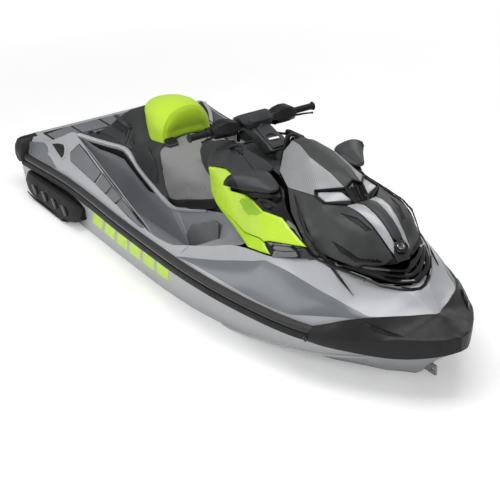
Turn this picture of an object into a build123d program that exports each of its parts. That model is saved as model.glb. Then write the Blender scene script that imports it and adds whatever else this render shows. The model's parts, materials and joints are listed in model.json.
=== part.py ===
from build123d import *
import os
from math import cos, radians, sin

# Personal watercraft, millimetres.
# Frame: +X towards the bow, +Y to port, +Z up.
# Origin: amidships, on the centreline, at the light waterline.
# Heights in the tables are above the keel; up() turns them into frame heights.

os.makedirs("parts", exist_ok=True)

# ---------------------------------------------------------------- driving dimensions
length = 3318.0               # bow bumper to stern caps
beam = 1255.0                 # over the side rails
draft = 230.0                 # keel to waterline, empty

rail_depth = 28.0             # side rail, joint line to its outer face
rail_rise = 30.0              # rail above the hull and deck joint
rail_drop = 46.0              # rail below the joint
seat_gap = 0.3                # running gap between pieces that only rest together
panel_gap = 6.0               # shut line round a lid that opens

engine_length = 640.0
engine_width = 400.0
engine_height = 340.0
engine_clearance = 30.0       # round the engine in its bay
bay_floor = 112.0             # height of the engine bay's floor

platform_height = 555.0       # stern platform
platform_half_width = 395.0
mat_thickness = 6.0
footwell_floor = 330.0

pump_height = 150.0           # axis of the jet pump
pump_bore = 75.5              # radius of the pump's bore
pump_wall = 14.0
pump_length = 120.0
pump_hub = 26.0
hub_tail = 30.0
flange_lip = 10.0
flange_depth = 12.0
vane_count = 4
vane_thickness = 6.0
impeller_start = 20.0         # behind the pump's face
impeller_length = 50.0
blade_count = 4
blade_thickness = 5.0
blade_pitch = 40.0
impeller_clearance = 5.5
shaft_radius = 14.0
duct_half = 80.0              # half the side of the water duct
transom_inner = -1330.0       # face that the pump bolts to
recess_half_width = 200.0     # stern recess round the pump
recess_height = 385.0
venturi_length = 60.0
venturi_bore = 50.0
venturi_wall = 6.0
nozzle_inlet = 68.0
nozzle_outlet = 42.0
nozzle_wall = 7.0
nozzle_length = 90.0
nozzle_lap = 22.0             # straight part of the nozzle
nozzle_overlap = 15.0         # nozzle over the spout's end
nozzle_pivot = 10.0           # pivot ahead of the spout's end
spout_length = 35.0
ear_clearance = 5.0           # round the nozzle
ear_thickness = 8.0
ear_width = 32.0
pivot_radius = 8.0
bucket_pivot = 110.0          # behind the pump's face
bucket_eye_wall = 12.0
shaft_overhang = 20.0         # behind the pump's straight part
bucket_radius = 196.0         # inside of the reverse bucket, about its pivot
bucket_wall = 7.0
bucket_inside = 118.0         # half the bucket's inside width
bucket_low_edge = 43.0        # bucket's span at rest, degrees above astern
bucket_high_edge = 105.0

column_rake = 35.0            # steering axis back from vertical, degrees
column_x = 262.0              # steering axis where it leaves the console
column_height = 957.0
bar_x = 20.0                  # handlebar's middle
bar_height = 1072.0
bar_radius = 11.0
grip_radius = 17.0
grip_length = 128.0
grip_end = 392.0              # grip's outer end from the centreline
grip_flange = 7.0
neck_half_width = 58.0
lever_radius = 6.0
pod_clearance = 18.0          # pod above the handlebar
pin_radius = 16.0             # steering column in the console
pin_depth = 70.0
collar_radius = 30.0
collar_top = 34.0             # along the column, above its base point
overall_height = 1147.0       # keel to the top of the gauge pod

handle_half_width = 150.0     # grab handle behind the seat
handle_reach = 110.0
handle_bar = 25.0
handle_arm = 20.0
handle_span = (690, 715)
bin_floor = 430.0             # front storage bin
bin_half_width = 150.0
bin_back = 520.0
bin_front = 1010.0
lid_wall = 24.0               # thickness of the hood
glove_half_width = 80.0
glove_back = -80.0
glove_front = 66.0
glove_depth = 130.0
glove_lid_thickness = 14.0
glove_top = 912.0             # console's top at the glove box

hinge_x = 1215.0              # hood's hinge
hinge_height = 765.0
hinge_pin = 5.0
hinge_barrel = 9.0

eye_radius = 10.0             # bores of the bow and stern eyes
eye_thickness = 12.0
eye_half_height = 25.0
eye_margin = 24.0             # bow eye ahead of its bore
eye_root = 77.0               # and behind it, before the stem is cut away
bow_eye_station = 1477.0
bow_eye_height = 312.0
stern_eye_y = 330.0
stern_eye_height = 300.0
stern_eye_inset = 6.0         # bore ahead of the stern's end
transom_step = 26.0           # lower transom ahead of the stern's end
transom_lip = 384.0           # height of the step
drain_y = 262.0
drain_height = 160.0
drain_radius = 16.0
drain_depth = 10.0
ride_plate_length = 200.0
ride_plate_half_width = 108.0
ride_plate_thickness = 12.0
ride_plate_clearance = 4.5    # below the pump's flange
grate_offset = 282.0          # grate ahead of the pump's face
grate_length = 258.0
grate_span = (36, 48)
grate_bar = 8.0
grate_rim = 10.0
grate_pitch = 26.0

# ---------------------------------------------------------------- body lines
design_length = 3318.0        # the tables are drawn at this size and stretched
design_beam = 1255.0


def along(x):
    """Station along the craft, stretched with its length."""
    return x * length / design_length


def across(y):
    """Offset from the centreline, stretched with its beam."""
    return y * beam / design_beam


def up(height):
    """Frame height of a height above the keel."""
    return height - draft


# station: keel height, chine offset and height, joint offset and height
hull_lines = {
    -1640: (0, 470, 200, 512, 432),
    -1100: (0, 480, 195, 503, 453),
    -800: (0, 490, 190, 522, 463),
    -400: (0, 500, 185, 560, 478),
    -70: (0, 505, 185, 584, 492),
    190: (0, 500, 200, 599.5, 502),
    470: (0, 480, 235, 588, 502),
    760: (15, 450, 280, 536, 488),
    1040: (70, 390, 330, 462, 480),
    1260: (150, 270, 370, 356, 485),
    1400: (260, 140, 410, 262, 515),
    1500: (370, 60, 440, 184, 535),
    1599: (450, 15, 470, 82, 550),
}

# station: band, ridge and centre offsets and heights
deck_lines = {
    -1640: (500, 500, 460, 552, 240, 553),
    -1350: (494, 540, 450, 640, 240, 560),
    -1100: (492, 570, 432, 735, 250, 560),
    -800: (510, 560, 480, 680, 250, 540),
    -400: (550, 545, 530, 600, 250, 520),
    -70: (578, 528, 567, 540, 250, 560),
    190: (588, 538, 500, 580, 250, 620),
    470: (574, 538, 405, 673, 250, 700),
    770: (527, 526, 420, 706, 320, 738),
    980: (472, 524, 370, 674, 288, 768),
    1115: (418, 526, 335, 645, 248, 742),
    1260: (350, 560, 275, 615, 140, 700),
    1335: (292, 575, 236, 610, 40, 680),
    1400: (235, 580, 165, 604, 28, 650),
    1500: (150, 578, 36, 603, 6, 609),
    1599: (50, 560, 20, 564, 6, 566),
}


def at(table, x):
    """Values of a table of lines at any station, straight between its stations."""
    stations = sorted(table)
    for back, front in zip(stations, stations[1:]):
        if back <= x <= front:
            share = (x - back) / (front - back)
            return [a + share * (b - a) for a, b in zip(table[back], table[front])]
    raise ValueError("station outside the table")


def section(x, points):
    """Closed outline across the craft from (offset, height) points."""
    return Wire.make_polygon([Vector(along(x), across(y), up(z)) for y, z in points], close=True)


def both_sides(points):
    """Starboard half of an outline made whole."""
    return list(points) + [(-y, z) for y, z in reversed(points)]


def loft_along(sections):
    """Solid through outlines given as {station: points}."""
    return Solid.make_loft([section(x, sections[x]) for x in sorted(sections)], ruled=True)


def port_and_starboard(solid):
    """A starboard piece and its mirror image."""
    return [solid, solid.mirror(Plane.XZ)]


def block(x_span, y_span, z_span):
    """Box between two corners; heights are above the keel, nothing is stretched."""
    size = [high - low for low, high in (x_span, y_span, z_span)]
    middle = [(low + high) / 2 for low, high in (x_span, y_span, z_span)]
    return Pos(middle[0], middle[1], up(middle[2])) * Box(*size)


def rod(start, end, radius):
    """Round bar between two frame points."""
    path = Vector(*end) - Vector(*start)
    return Solid.make_cylinder(radius, path.length, Plane(origin=start, z_dir=path))


def across_rod(x, height, start_y, end_y, radius):
    """Round bar across the craft."""
    return rod((x, start_y, up(height)), (x, end_y, up(height)), radius)


def in_blocks(solid, cells):
    """Solid divided into simple blocks that meet face to face, one or more for each cell."""
    pieces = []
    for cell in cells:
        shared = solid & block(*cell)
        if shared:
            pieces += shared.solids()
    return pieces


def save(name, *pieces):
    """Write one node's solids."""
    solids = []
    for piece in pieces:
        solids += piece.solids()
    shape = solids[0] if len(solids) == 1 else Compound(children=solids)
    export_step(shape, f"parts/{name}.step")


# ---------------------------------------------------------------- hull and deck
hull = loft_along({
    x: [(0, keel), (-chine_y, chine_z), (-joint_y, joint_z), (joint_y, joint_z), (chine_y, chine_z)]
    for x, (keel, chine_y, chine_z, joint_y, joint_z) in hull_lines.items()
})


def deck_outline(x):
    """Outline of the deck at a station, standing on the hull's joint line."""
    joint_y, joint_z = at(hull_lines, x)[3:]
    band_y, band_z, ridge_y, ridge_z, centre_y, centre_z = at(deck_lines, x)
    return both_sides([(-joint_y, joint_z), (-band_y, band_z), (-ridge_y, ridge_z), (-centre_y, centre_z)])


deck = loft_along({x: deck_outline(x) for x in {*hull_lines, *deck_lines}})

footwell = loft_along({
    x: [(-inner, floor), (-outer, floor), (-outer_top, 900), (-inner, 900)]
    for x, inner, outer, outer_top, floor in (
        (-1060, 300, 390, 395, 556), (-880, 285, 420, 440, 350),
        (-150, 272, 500, 522, footwell_floor), (30, 272, 520, 548, 400), (185, 275, 470, 480, 572))
})
footwells = port_and_starboard(footwell)
stern_x = along(-1640)
transom_x = stern_x + (transom_inner - -1640)
platform = block((stern_x - 100, along(-1120)), (-across(platform_half_width), across(platform_half_width)),
                 (platform_height, 1000))
deck = deck - footwells - [platform]

pump_z = up(pump_height)
recess = block((stern_x - 100, transom_x), (-recess_half_width, recess_half_width), (-50, recess_height))
duct = extrude(Plane.XZ * Polygon(
    (transom_x + 1, pump_z - duct_half), (transom_x + 1, pump_z + duct_half),
    (transom_x + 280, pump_z + duct_half), (transom_x + 710, up(-60)),
    (transom_x + 350, up(-60)), (transom_x + 250, pump_z - duct_half),
    (transom_x - 1, pump_z - duct_half), align=None), duct_half, both=True)
engine_x = along(-60)
bay_half = engine_width / 2 + engine_clearance
bay_reach = engine_length / 2 + engine_clearance
bay = block((engine_x - bay_reach, engine_x + bay_reach), (-bay_half, bay_half), (bay_floor, 700))
shaft_front = engine_x - engine_length / 2 - 1
shaft_bore = rod((transom_x, 0, pump_z), (shaft_front, 0, pump_z), shaft_radius + seat_gap)
storage = block((along(bin_back), along(bin_front)), (-bin_half_width, bin_half_width), (bin_floor, 1200))
hull = hull - footwells - [recess, duct, bay, shaft_bore, storage]
deck = deck - [storage]

engine = block((engine_x - engine_length / 2, engine_x + engine_length / 2),
               (-engine_width / 2, engine_width / 2), (bay_floor, bay_floor + engine_height))

# ---------------------------------------------------------------- rails, bumper and caps
rail_front = 1138


def rail_outline(x):
    joint_y, joint_z = at(hull_lines, x)[3:]
    low = joint_z - rail_drop
    high = joint_z + rail_rise
    depth = rail_depth * design_beam / beam
    return [(-(joint_y - 8), low), (-(joint_y + depth - 6), low), (-(joint_y + depth), joint_z - 6),
            (-(joint_y + depth), joint_z + 6), (-(joint_y + depth - 5), high), (-(joint_y - 8), high)]


rail_stations = [x for x in hull_lines if -1600 < x < rail_front]
rail_stations += [-1560, rail_front]
rail = loft_along({x: rail_outline(x) for x in rail_stations})
rails = [side - hull - deck for side in port_and_starboard(rail)]

bow_tip = design_length / 2
# station: bumper's foot offset and height, ridge offset and height, top edge offset and height
bumper_lines = {
    1140: (448, 434, 462, 466, 400, 536),
    1240: (395, 437, 402, 487, 352, 573),
    1329: (338, 437, 345, 505, 266, 603),
    1420: (272, 437, 282, 528, 138, 612),
    1500: (205, 443, 216, 545, 3, 611),
    1600: (102, 468, 110, 556, 3, 577),
    1640: (52, 482, 55, 559, 3, 566),
    bow_tip: (2, 490, 3, 560, 1, 562),
}
bumper = loft_along({
    x: both_sides([(-foot_y, foot_z), (-ridge_y, ridge_z), (-top_y, top_z)])
    for x, (foot_y, foot_z, ridge_y, ridge_z, top_y, top_z) in bumper_lines.items()
})
bumper = bumper - hull - deck
bumper_solid = max(bumper.solids(), key=lambda solid: solid.volume)

cap_back = -length / 2
cap = block((cap_back, along(-1565)), (-across(545), -across(432)), (transom_lip + 4, 556))
caps = [side - hull - deck for side in port_and_starboard(cap)]

# ---------------------------------------------------------------- seat and rear cowl
# station: cowl's foot offset and height, top offset and height
cowl_lines = {
    -1105: (205, 540, 185, 640),
    -1000: (240, 530, 205, 730),
    -800: (250, 530, 205, 742),
    -620: (250, 520, 225, 735),
    -410: (250, 500, 235, 560),
}
cowl = loft_along({
    x: both_sides([(-foot_y, foot_z), (-top_y, top_z)])
    for x, (foot_y, foot_z, top_y, top_z) in cowl_lines.items()
})
cowl = cowl - deck
saddle = loft_along({
    -619.7: both_sides([(-226, 736), (-190, 790), (-90, 806)]),
    -400: both_sides([(-236, 562), (-175, 740), (-80, 768)]),
    -250: both_sides([(-236, 566), (-165, 770), (-75, 810)]),
    -112: both_sides([(-215, 580), (-140, 810), (-65, 868)]),
})
saddle = saddle - deck
saddle = saddle - cowl
backrest_lines = {
    -940: (165, 150, 850, 90, 880),
    -800: (200, 175, 905, 90, 945),
    -690: (222, 180, 900, 95, 945),
    -620: (232, 190, 860, 85, 892),
}
backrest = loft_along({
    x: both_sides([(-foot_y, at(cowl_lines, x)[3] + seat_gap), (-side_y, side_z), (-top_y, top_z)])
    for x, (foot_y, side_y, side_z, top_y, top_z) in backrest_lines.items()
})

handle_back = along(-1120)
handle_front = handle_back + handle_reach
handle = block((handle_back, handle_back + handle_bar), (-handle_half_width, handle_half_width),
               handle_span)
for side in (-1, 1):
    arm_outer, arm_inner = side * handle_half_width, side * (handle_half_width - handle_arm)
    handle += block((handle_back, handle_front), sorted((arm_outer, arm_inner)), handle_span)
handle = handle - cowl

# ---------------------------------------------------------------- mats and pads
mat_low = platform_height + seat_gap
rear_mat = block((stern_x + 35, along(-1130)),
                 (-across(platform_half_width) + 12, across(platform_half_width) - 12),
                 (mat_low, mat_low + mat_thickness)) - cowl

footwell_mat = loft_along({
    x: [(-inner, floor), (-outer, floor), (-outer, floor + mat_thickness), (-inner, floor + mat_thickness)]
    for x, inner, outer, floor in ((-860, 296, 410, 350.3), (-170, 284, 482, 331.1))
})


def gunwale_point(x, share, proud):
    """Point on the slope between band and ridge, lifted off it."""
    band_y, band_z, ridge_y, ridge_z = at(deck_lines, x)[:4]
    run, rise = band_y - ridge_y, ridge_z - band_z
    slope = (run ** 2 + rise ** 2) ** 0.5
    return (-(band_y - share * run + proud * rise / slope), band_z + share * rise + proud * run / slope)


pad_stations = [(-1030, -812), (-788, -600), (-585, -420), (-388, -180)]
pads = []
for back, front in pad_stations:
    pad = loft_along({
        x: [gunwale_point(x, share, proud) for share, proud in
            ((0.16, seat_gap), (0.86, seat_gap), (0.86, mat_thickness), (0.16, mat_thickness))]
        for x in (back, front)
    })
    pads += port_and_starboard(pad)

# ---------------------------------------------------------------- console and glove box
console_back = -112 + seat_gap
lid_seat = glove_top - glove_lid_thickness - 8
console = loft_along({
    console_back: both_sides([(-160, 560), (-150, 820), (-110, 902)]),
    0: both_sides([(-236, 600), (-236, 872), (-150, glove_top)]),
    110: both_sides([(-239, 620), (-239, 890), (-150, 930)]),
    262: both_sides([(-244, 640), (-240, 915), (-150, 950)]),
    392: both_sides([(-250, 660), (-235, 940), (-150, 975)]),
})
glove_rebate = block((glove_back - 20, glove_front + panel_gap),
                     (-glove_half_width - panel_gap, glove_half_width + panel_gap), (lid_seat, 1000))
glove_box = block((glove_back + 10, glove_front - 10), (-glove_half_width + 10, glove_half_width - 10),
                  (lid_seat - glove_depth, lid_seat))
lean = radians(column_rake)
column = Vector(-sin(lean), 0, cos(lean))
across_column = Vector(cos(lean), 0, sin(lean))
column_base = Vector(along(column_x), 0, up(column_height))
column_bore = rod(column_base - column * (pin_depth + 2), column_base + column * 60, pin_radius + seat_gap)
collar = rod(column_base - column * 40, column_base + column * collar_top, collar_radius)
console = console + collar
console = console - deck - [glove_rebate, glove_box, column_bore]
console_solid = max(console.solids(), key=lambda solid: solid.volume)

lid_low = lid_seat + seat_gap
lid_pin = 3.5
lid_pin_reach = 20.0          # pins inside the lid
lid_edge = glove_lid_thickness / 2
lid_hinge_height = lid_low + lid_edge
glove_lid = block((glove_back, glove_front), (-glove_half_width, glove_half_width),
                  (lid_low, lid_low + glove_lid_thickness))
glove_lid += across_rod(glove_back, lid_hinge_height, -glove_half_width, glove_half_width, lid_edge)
for side in (-1, 1):
    inner, outer = side * (glove_half_width - lid_pin_reach), side * (glove_half_width + panel_gap + 5)
    console_solid += across_rod(glove_back, lid_hinge_height, inner, outer, lid_pin)
    glove_lid -= across_rod(glove_back, lid_hinge_height, inner - side, outer, lid_pin + seat_gap)

loop_x = along(350)
loop = extrude(Plane.YZ * Polygon((-58, up(940)), (58, up(940)), (40, up(1070)), (24, up(1118)),
                                  (-24, up(1118)), (-40, up(1070)), align=None), 10, both=True)
loop = Pos(loop_x, 0, 0) * loop
loop = loop - console_solid - [rod((loop_x - 30, 0, up(1092)), (loop_x + 30, 0, up(1092)), 10)]

# ---------------------------------------------------------------- side panels and fairings
# station: side panel's inner face, lower and upper offsets, lower and upper heights
panel_sections = {
    40: (240, 262, 262, 885, 903),
    110: (240, 282, 276, 705, 905),
    340: (250, 335, 297, 672, 915),
    550: (278, 368, 312, 682, 880),
    700: (296, 390, 316, 698, 876),
    715: (297, 360, 316, 750, 874),
    905: (306, 323, 320, 797, 812),
}
side_panel = loft_along({
    x: [(-inner, low), (-outer_low, low), (-outer_high, high), (-inner, high)]
    for x, (inner, outer_low, outer_high, low, high) in panel_sections.items()
}) - deck - console_solid
upper_fairing = loft_along({
    -8: [(-200, 860), (-252, 866), (-240, 905), (-190, 905)],
    60: [(-200, 880), (-272, 895), (-248, 945), (-185, 950)],
    262: [(-200, 900), (-288, 920), (-262, 1000), (-195, 1005)],
    392: [(-200, 910), (-290, 916), (-262, 990), (-200, 996)],
}) - console_solid - side_panel

# station: hood's edge offset and height, crease offset and height, height on the centreline
hood_lines = {
    400: (85, 1060, 45, 1092, 1108),
    480: (165, 1000, 60, 1086, 1126),
    590: (198, 962, 85, 1068, 1108),
    753: (250, 905, 150, 985, 1068),
    840: (282, 872, 168, 965, 1045),
    920: (298, 842, 178, 950, 960),
    968: (285, 787, 176, 940, 936),
    1050: (250, 775, 160, 915, 900),
    1132: (212, 764, 130, 888, 866),
    1190: (85, 758, 84, 842, 836),
    1240: (45, 770, 40, 796, 806),
}
# station: front fairing's side offset, foot and shoulder heights, crown offset and height
fairing_lines = {
    400: (245, 650, 900), 480: (262, 660, 890), 590: (286, 680, 880), 753: (306, 710, 862),
    840: (314, 720, 850), 920: (316, 725, 832), 968: (292, 730, 772), 1050: (265, 715, 758),
    1132: (236, 700, 750, 200, 752), 1190: (218, 680, 744, 80, 728), 1240: (205, 660, 736, 40, 722),
    1300: (150, 650, 705, 120, 708), 1345: (70, 640, 680, 40, 684),
}


def fairing_outline(x):
    """Outline of the front fairing; up to the hood's shoulder its crown carries the hood."""
    side, foot, shoulder, *crown = fairing_lines[x]
    crown_y, crown_z = crown or (hood_lines[x][0], hood_lines[x][1] - seat_gap)
    return both_sides([(-side, foot), (-side, shoulder), (-crown_y, crown_z)])


front_fairing = loft_along({x: fairing_outline(x) for x in fairing_lines})
front_fairing = front_fairing - deck - port_and_starboard(side_panel) - [storage]
hood_hinge_x = along(hinge_x)
knuckle_inner, knuckle_outer = 31.0, 44.0
knuckle_clearance = 5.0
front_fairing += across_rod(hood_hinge_x, hinge_height, -knuckle_outer, knuckle_outer, hinge_pin)
for side in (-1, 1):
    low, high = sorted((side * knuckle_inner, side * knuckle_outer))
    front_fairing += across_rod(hood_hinge_x, hinge_height, low, high, hinge_barrel)
    front_fairing += block((hood_hinge_x - hinge_barrel, hood_hinge_x + hinge_barrel), (low, high),
                           (718, hinge_height))


def hood_outline(x, inset):
    """Outline of the hood at a station, moved in from its outer face."""
    edge_y, edge_z, crease_y, crease_z, top_z = at(hood_lines, x)
    edge = edge_y - inset
    crease = crease_y - inset
    floor = edge_z - (4 if inset else 0)
    return [(-edge, floor), (-crease, crease_z - inset), (0, top_z - inset),
            (crease, crease_z - inset), (edge, floor)]


hood_outer = loft_along({x: hood_outline(x, 0) for x in hood_lines})
hood_inner = loft_along({x: hood_outline(x, lid_wall) for x in (430, *list(hood_lines)[1:8], 1125)})
barrel_end = knuckle_inner - 2
hood = hood_outer - hood_inner
hood += across_rod(hood_hinge_x, hinge_height, -barrel_end, barrel_end, hinge_barrel)
hood -= across_rod(hood_hinge_x, hinge_height, -knuckle_outer, knuckle_outer, hinge_pin + seat_gap)
for side in (-1, 1):
    hood -= across_rod(hood_hinge_x, hinge_height, side * barrel_end, side * (knuckle_outer + 2),
                       hinge_barrel + knuckle_clearance)

wedge = loft_along({
    690: [(-310, 690), (-392, 690), (-388, 730), (-310, 730)],
    900: [(-300, 725), (-338, 725), (-322, 806), (-300, 806)],
    975: [(-285, 745), (-306, 750), (-298, 775), (-285, 775)],
}) - deck - side_panel - front_fairing
wedge = max(wedge.solids(), key=lambda solid: solid.volume)

badge_x = 1205
badge_radius = 30
badge_plane = Plane(origin=(along(badge_x), 0, up(at(hood_lines, badge_x)[4] - 6)), z_dir=(0.46, 0, 0.89))
badge = Solid.make_cylinder(badge_radius, 14, badge_plane) - hood_outer

# ---------------------------------------------------------------- mirrors
def fore_aft_section(y, points):
    """Closed outline along the craft from (station, height) points."""
    return Wire.make_polygon([Vector(along(x), across(y), up(z)) for x, z in points], close=True)


mirror = Solid.make_loft([
    fore_aft_section(-210, [(540, 935), (600, 930), (600, 895), (545, 895)]),
    fore_aft_section(-290, [(528, 1024), (594, 985), (598, 912), (540, 918)]),
    fore_aft_section(-400, [(452, 968), (505, 942), (480, 876), (444, 890)]),
    fore_aft_section(-448, [(388, 928), (404, 922), (402, 905), (390, 908)]),
], ruled=True)
mirror = mirror - front_fairing - side_panel - upper_fairing
mirror_glass = Solid.make_loft([
    fore_aft_section(-308, [(512, 1000), (522, 1001), (526, 955), (516, 953)]),
    fore_aft_section(-392, [(452, 958), (462, 959), (458, 915), (448, 913)]),
], ruled=True) - mirror

# ---------------------------------------------------------------- hull fittings
sponson = loft_along({
    -1530: [(-460, 290), (-548, 300), (-553, 350), (-460, 365)],
    -1400: [(-460, 236), (-560, 256), (-568, 345), (-460, 366)],
    -1060: [(-460, 228), (-560, 240), (-570, 340), (-460, 366)],
    -870: [(-470, 292), (-553, 300), (-558, 342), (-470, 360)],
}) - hull - rails[0]
sponson = max(sponson.solids(), key=lambda solid: solid.volume)

eye_half = (-eye_thickness / 2, eye_thickness / 2)
eye_length = 3 * eye_radius           # of the rod that cuts an eye's bore
bow_eye_x = along(bow_eye_station)
bow_eye = block((along(bow_eye_station - eye_root), bow_eye_x + eye_margin), eye_half,
                (bow_eye_height - eye_half_height, bow_eye_height + eye_half_height)) - hull
bow_eye -= across_rod(bow_eye_x, bow_eye_height, -eye_length, eye_length, eye_radius)
bow_eye = max(bow_eye.solids(), key=lambda solid: solid.volume)

lower_transom = stern_x + transom_step
hull = hull - [block((stern_x - 1, lower_transom), (-beam, beam), (-50, transom_lip))]
stern_eye_x = stern_x + stern_eye_inset
stern_eye = block((stern_eye_x - 18, lower_transom), (stern_eye_y + eye_half[0], stern_eye_y + eye_half[1]),
                  (stern_eye_height - eye_half_height, stern_eye_height + eye_half_height))
stern_eye -= across_rod(stern_eye_x, stern_eye_height, stern_eye_y - eye_length, stern_eye_y + eye_length,
                        eye_radius)
drain_z = up(drain_height)
drain_plug = rod((lower_transom, drain_y, drain_z), (lower_transom - drain_depth, drain_y, drain_z),
                 drain_radius)

ride_plate_top = pump_height - pump_bore - pump_wall - flange_lip - ride_plate_clearance
ride_plate = block((transom_x - ride_plate_length, transom_x),
                   (-ride_plate_half_width, ride_plate_half_width),
                   (ride_plate_top - ride_plate_thickness, ride_plate_top))
grate_back = transom_x + grate_offset
grate_front = grate_back + grate_length
grate_half = duct_half - seat_gap
grate = block((grate_back, grate_front), (-grate_half, -grate_half + grate_bar), grate_span)
grate += block((grate_back, grate_front), (grate_half - grate_bar, grate_half), grate_span)
grate += block((grate_back, grate_back + grate_rim), (-grate_half, grate_half), grate_span)
grate += block((grate_front - grate_rim, grate_front), (-grate_half, grate_half), grate_span)
for number in range(-2, 3):
    bar_y = number * grate_pitch
    grate += block((grate_back, grate_front), (bar_y - grate_bar / 2, bar_y + grate_bar / 2), grate_span)

# ---------------------------------------------------------------- jet pump
pump_axis = Plane(origin=(transom_x, 0, pump_z), z_dir=(-1, 0, 0), x_dir=(0, 0, 1))


def turned(profile):
    """Solid of revolution about the pump's axis from (distance astern, radius) points."""
    face = make_face(Polyline(*[(radius, astern) for astern, radius in profile], close=True))
    return pump_axis * revolve(Plane.XZ * face, Axis.Z, 360)


pump_outer = pump_bore + pump_wall
flange_radius = pump_outer + flange_lip
spout_start = pump_length + venturi_length
spout_end = spout_start + spout_length
spout_outer = venturi_bore + venturi_wall
housing = turned([
    (0, pump_bore), (0, flange_radius), (flange_depth, flange_radius), (flange_depth, pump_outer),
    (pump_length, pump_outer), (spout_start, spout_outer), (spout_end, spout_outer),
    (spout_end, venturi_bore), (spout_start, venturi_bore), (pump_length, pump_bore)])
hub_start = impeller_start + impeller_length + impeller_clearance
hub_end = pump_length + hub_tail
bearing = shaft_radius + seat_gap
vanes = turned([(hub_start, bearing), (hub_start, pump_hub), (pump_length, pump_hub),
                (hub_end, bearing + 4), (hub_end, bearing)])
vane_middle = (hub_start + pump_length) / 2
for number in range(vane_count):
    vane = Rot(0, 0, 45 + number * 360 / vane_count) * Pos((pump_hub + pump_bore) / 2, 0, vane_middle)
    vane = vane * Box(pump_bore - pump_hub + 6, vane_thickness, pump_length - hub_start)
    vanes += pump_axis * vane
housing += vanes

bucket_pivot_x = transom_x - bucket_pivot
nozzle_pivot_x = transom_x - spout_end + nozzle_pivot
nozzle_outer = nozzle_inlet + nozzle_wall
ear_low = nozzle_outer + ear_clearance
ear_high = ear_low + ear_thickness
ear_back = nozzle_pivot_x - 14
ear_front = transom_x - pump_length + 20
ear_size = (ear_front - ear_back, ear_width, ear_thickness)
ear_bore_end = ear_high + 2 * ear_thickness
boss_start = pump_outer - 6
for side in (-1, 1):
    boss_end = side * (bucket_inside - seat_gap)
    pin_end = side * (bucket_inside + bucket_wall + 5)
    boss = across_rod(bucket_pivot_x, pump_height, side * boss_start, boss_end, pivot_radius + 6)
    pin = across_rod(bucket_pivot_x, pump_height, side * boss_start, pin_end, pivot_radius)
    ear_middle = pump_z + side * (ear_low + ear_high) / 2
    ear = Pos((ear_back + ear_front) / 2, 0, ear_middle) * Box(*ear_size)
    housing += [boss, pin, ear]
for side in (-1, 1):
    housing -= rod((nozzle_pivot_x, 0, pump_z + side * (ear_low - 1)),
                   (nozzle_pivot_x, 0, pump_z + side * ear_bore_end), pivot_radius + seat_gap)

nozzle_start = spout_end - nozzle_overlap
nozzle_neck = nozzle_start + nozzle_lap
nozzle_end = nozzle_start + nozzle_length
nozzle = turned([
    (nozzle_start, nozzle_inlet), (nozzle_start, nozzle_outer), (nozzle_neck, nozzle_outer),
    (nozzle_end, nozzle_outlet + nozzle_wall), (nozzle_end, nozzle_outlet), (nozzle_neck, nozzle_inlet)])
for side in (-1, 1):
    nozzle += rod((nozzle_pivot_x, 0, pump_z + side * (nozzle_outer - 3)),
                  (nozzle_pivot_x, 0, pump_z + side * ear_high), pivot_radius)

impeller_end = impeller_start + impeller_length
impeller_hub = pump_hub - 2
impeller = turned([(impeller_start, shaft_radius), (impeller_start, impeller_hub),
                   (impeller_end, impeller_hub), (impeller_end, shaft_radius)])
blade_tip = pump_bore - impeller_clearance
blade_middle = (impeller_start + impeller_end) / 2
for number in range(blade_count):
    blade = Rot(0, 0, number * 360 / blade_count) * Pos((pump_hub + blade_tip) / 2 - 4, 0, blade_middle)
    blade = blade * Rot(blade_pitch, 0, 0) * Box(blade_tip - pump_hub + 6, blade_thickness, impeller_length)
    impeller += pump_axis * blade
shaft_back = transom_x - pump_length - shaft_overhang
shaft = rod((shaft_front - 5, 0, pump_z), (shaft_back, 0, pump_z), shaft_radius)

bucket_outer = bucket_radius + bucket_wall
bucket_plane = Plane(origin=(bucket_pivot_x, 0, pump_z), z_dir=(0, 1, 0), x_dir=(-1, 0, 0))


def sector(radius, width):
    """Wedge of a disc about the bucket's pivot, between its two edges astern."""
    low, high = radians(bucket_low_edge), radians(bucket_high_edge)
    middle = (low + high) / 2
    edge = [(radius * cos(angle), radius * sin(angle)) for angle in (low, middle, high)]
    outline = make_face([Line((0, 0), edge[0]), ThreePointArc(*edge), Line(edge[2], (0, 0))])
    return bucket_plane * extrude(outline, width / 2, both=True)


bucket_width = 2 * (bucket_inside + bucket_wall)
arm_eye = extrude(bucket_plane * Circle(pivot_radius + bucket_eye_wall), bucket_width / 2, both=True)
bucket = sector(bucket_outer, bucket_width) + arm_eye
bucket = bucket - extrude(bucket_plane * Circle(bucket_radius), bucket_inside, both=True)
bucket = bucket - extrude(bucket_plane * Circle(pivot_radius + seat_gap), bucket_width, both=True)

# ---------------------------------------------------------------- handlebar
neck_start = column_base + column * (collar_top + seat_gap)
bar_z = up(bar_height)
neck_points = [neck_start - across_column * 42, neck_start + across_column * 38,
               Vector(bar_x + 52, 0, bar_z + 4), Vector(bar_x - 18, 0, bar_z + 4),
               Vector(bar_x - 20, 0, bar_z - 24)]
neck_profile = Polygon(*[(point.X, point.Z) for point in neck_points], align=None)
neck = extrude(Plane.XZ * neck_profile, neck_half_width, both=True)
neck += rod(column_base - column * pin_depth, neck_start + column * 5, pin_radius)
bar_end = grip_end - 6
bar = rod((bar_x, -bar_end, bar_z), (bar_x, bar_end, bar_z), bar_radius)
neck = neck - bar

grip_inner = -(grip_end - grip_length)
grip = rod((bar_x, -grip_end, bar_z), (bar_x, grip_inner, bar_z), grip_radius)
grip += rod((bar_x, -grip_end, bar_z), (bar_x, -grip_end + grip_flange, bar_z), grip_radius + 5)
grip = grip - bar


def bar_section(y, points):
    """Closed outline square to the handlebar from (ahead, above) points."""
    corners = [Vector(bar_x + ahead, y, bar_z + above) for ahead, above in points]
    return Wire.make_polygon(corners, close=True)


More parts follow.
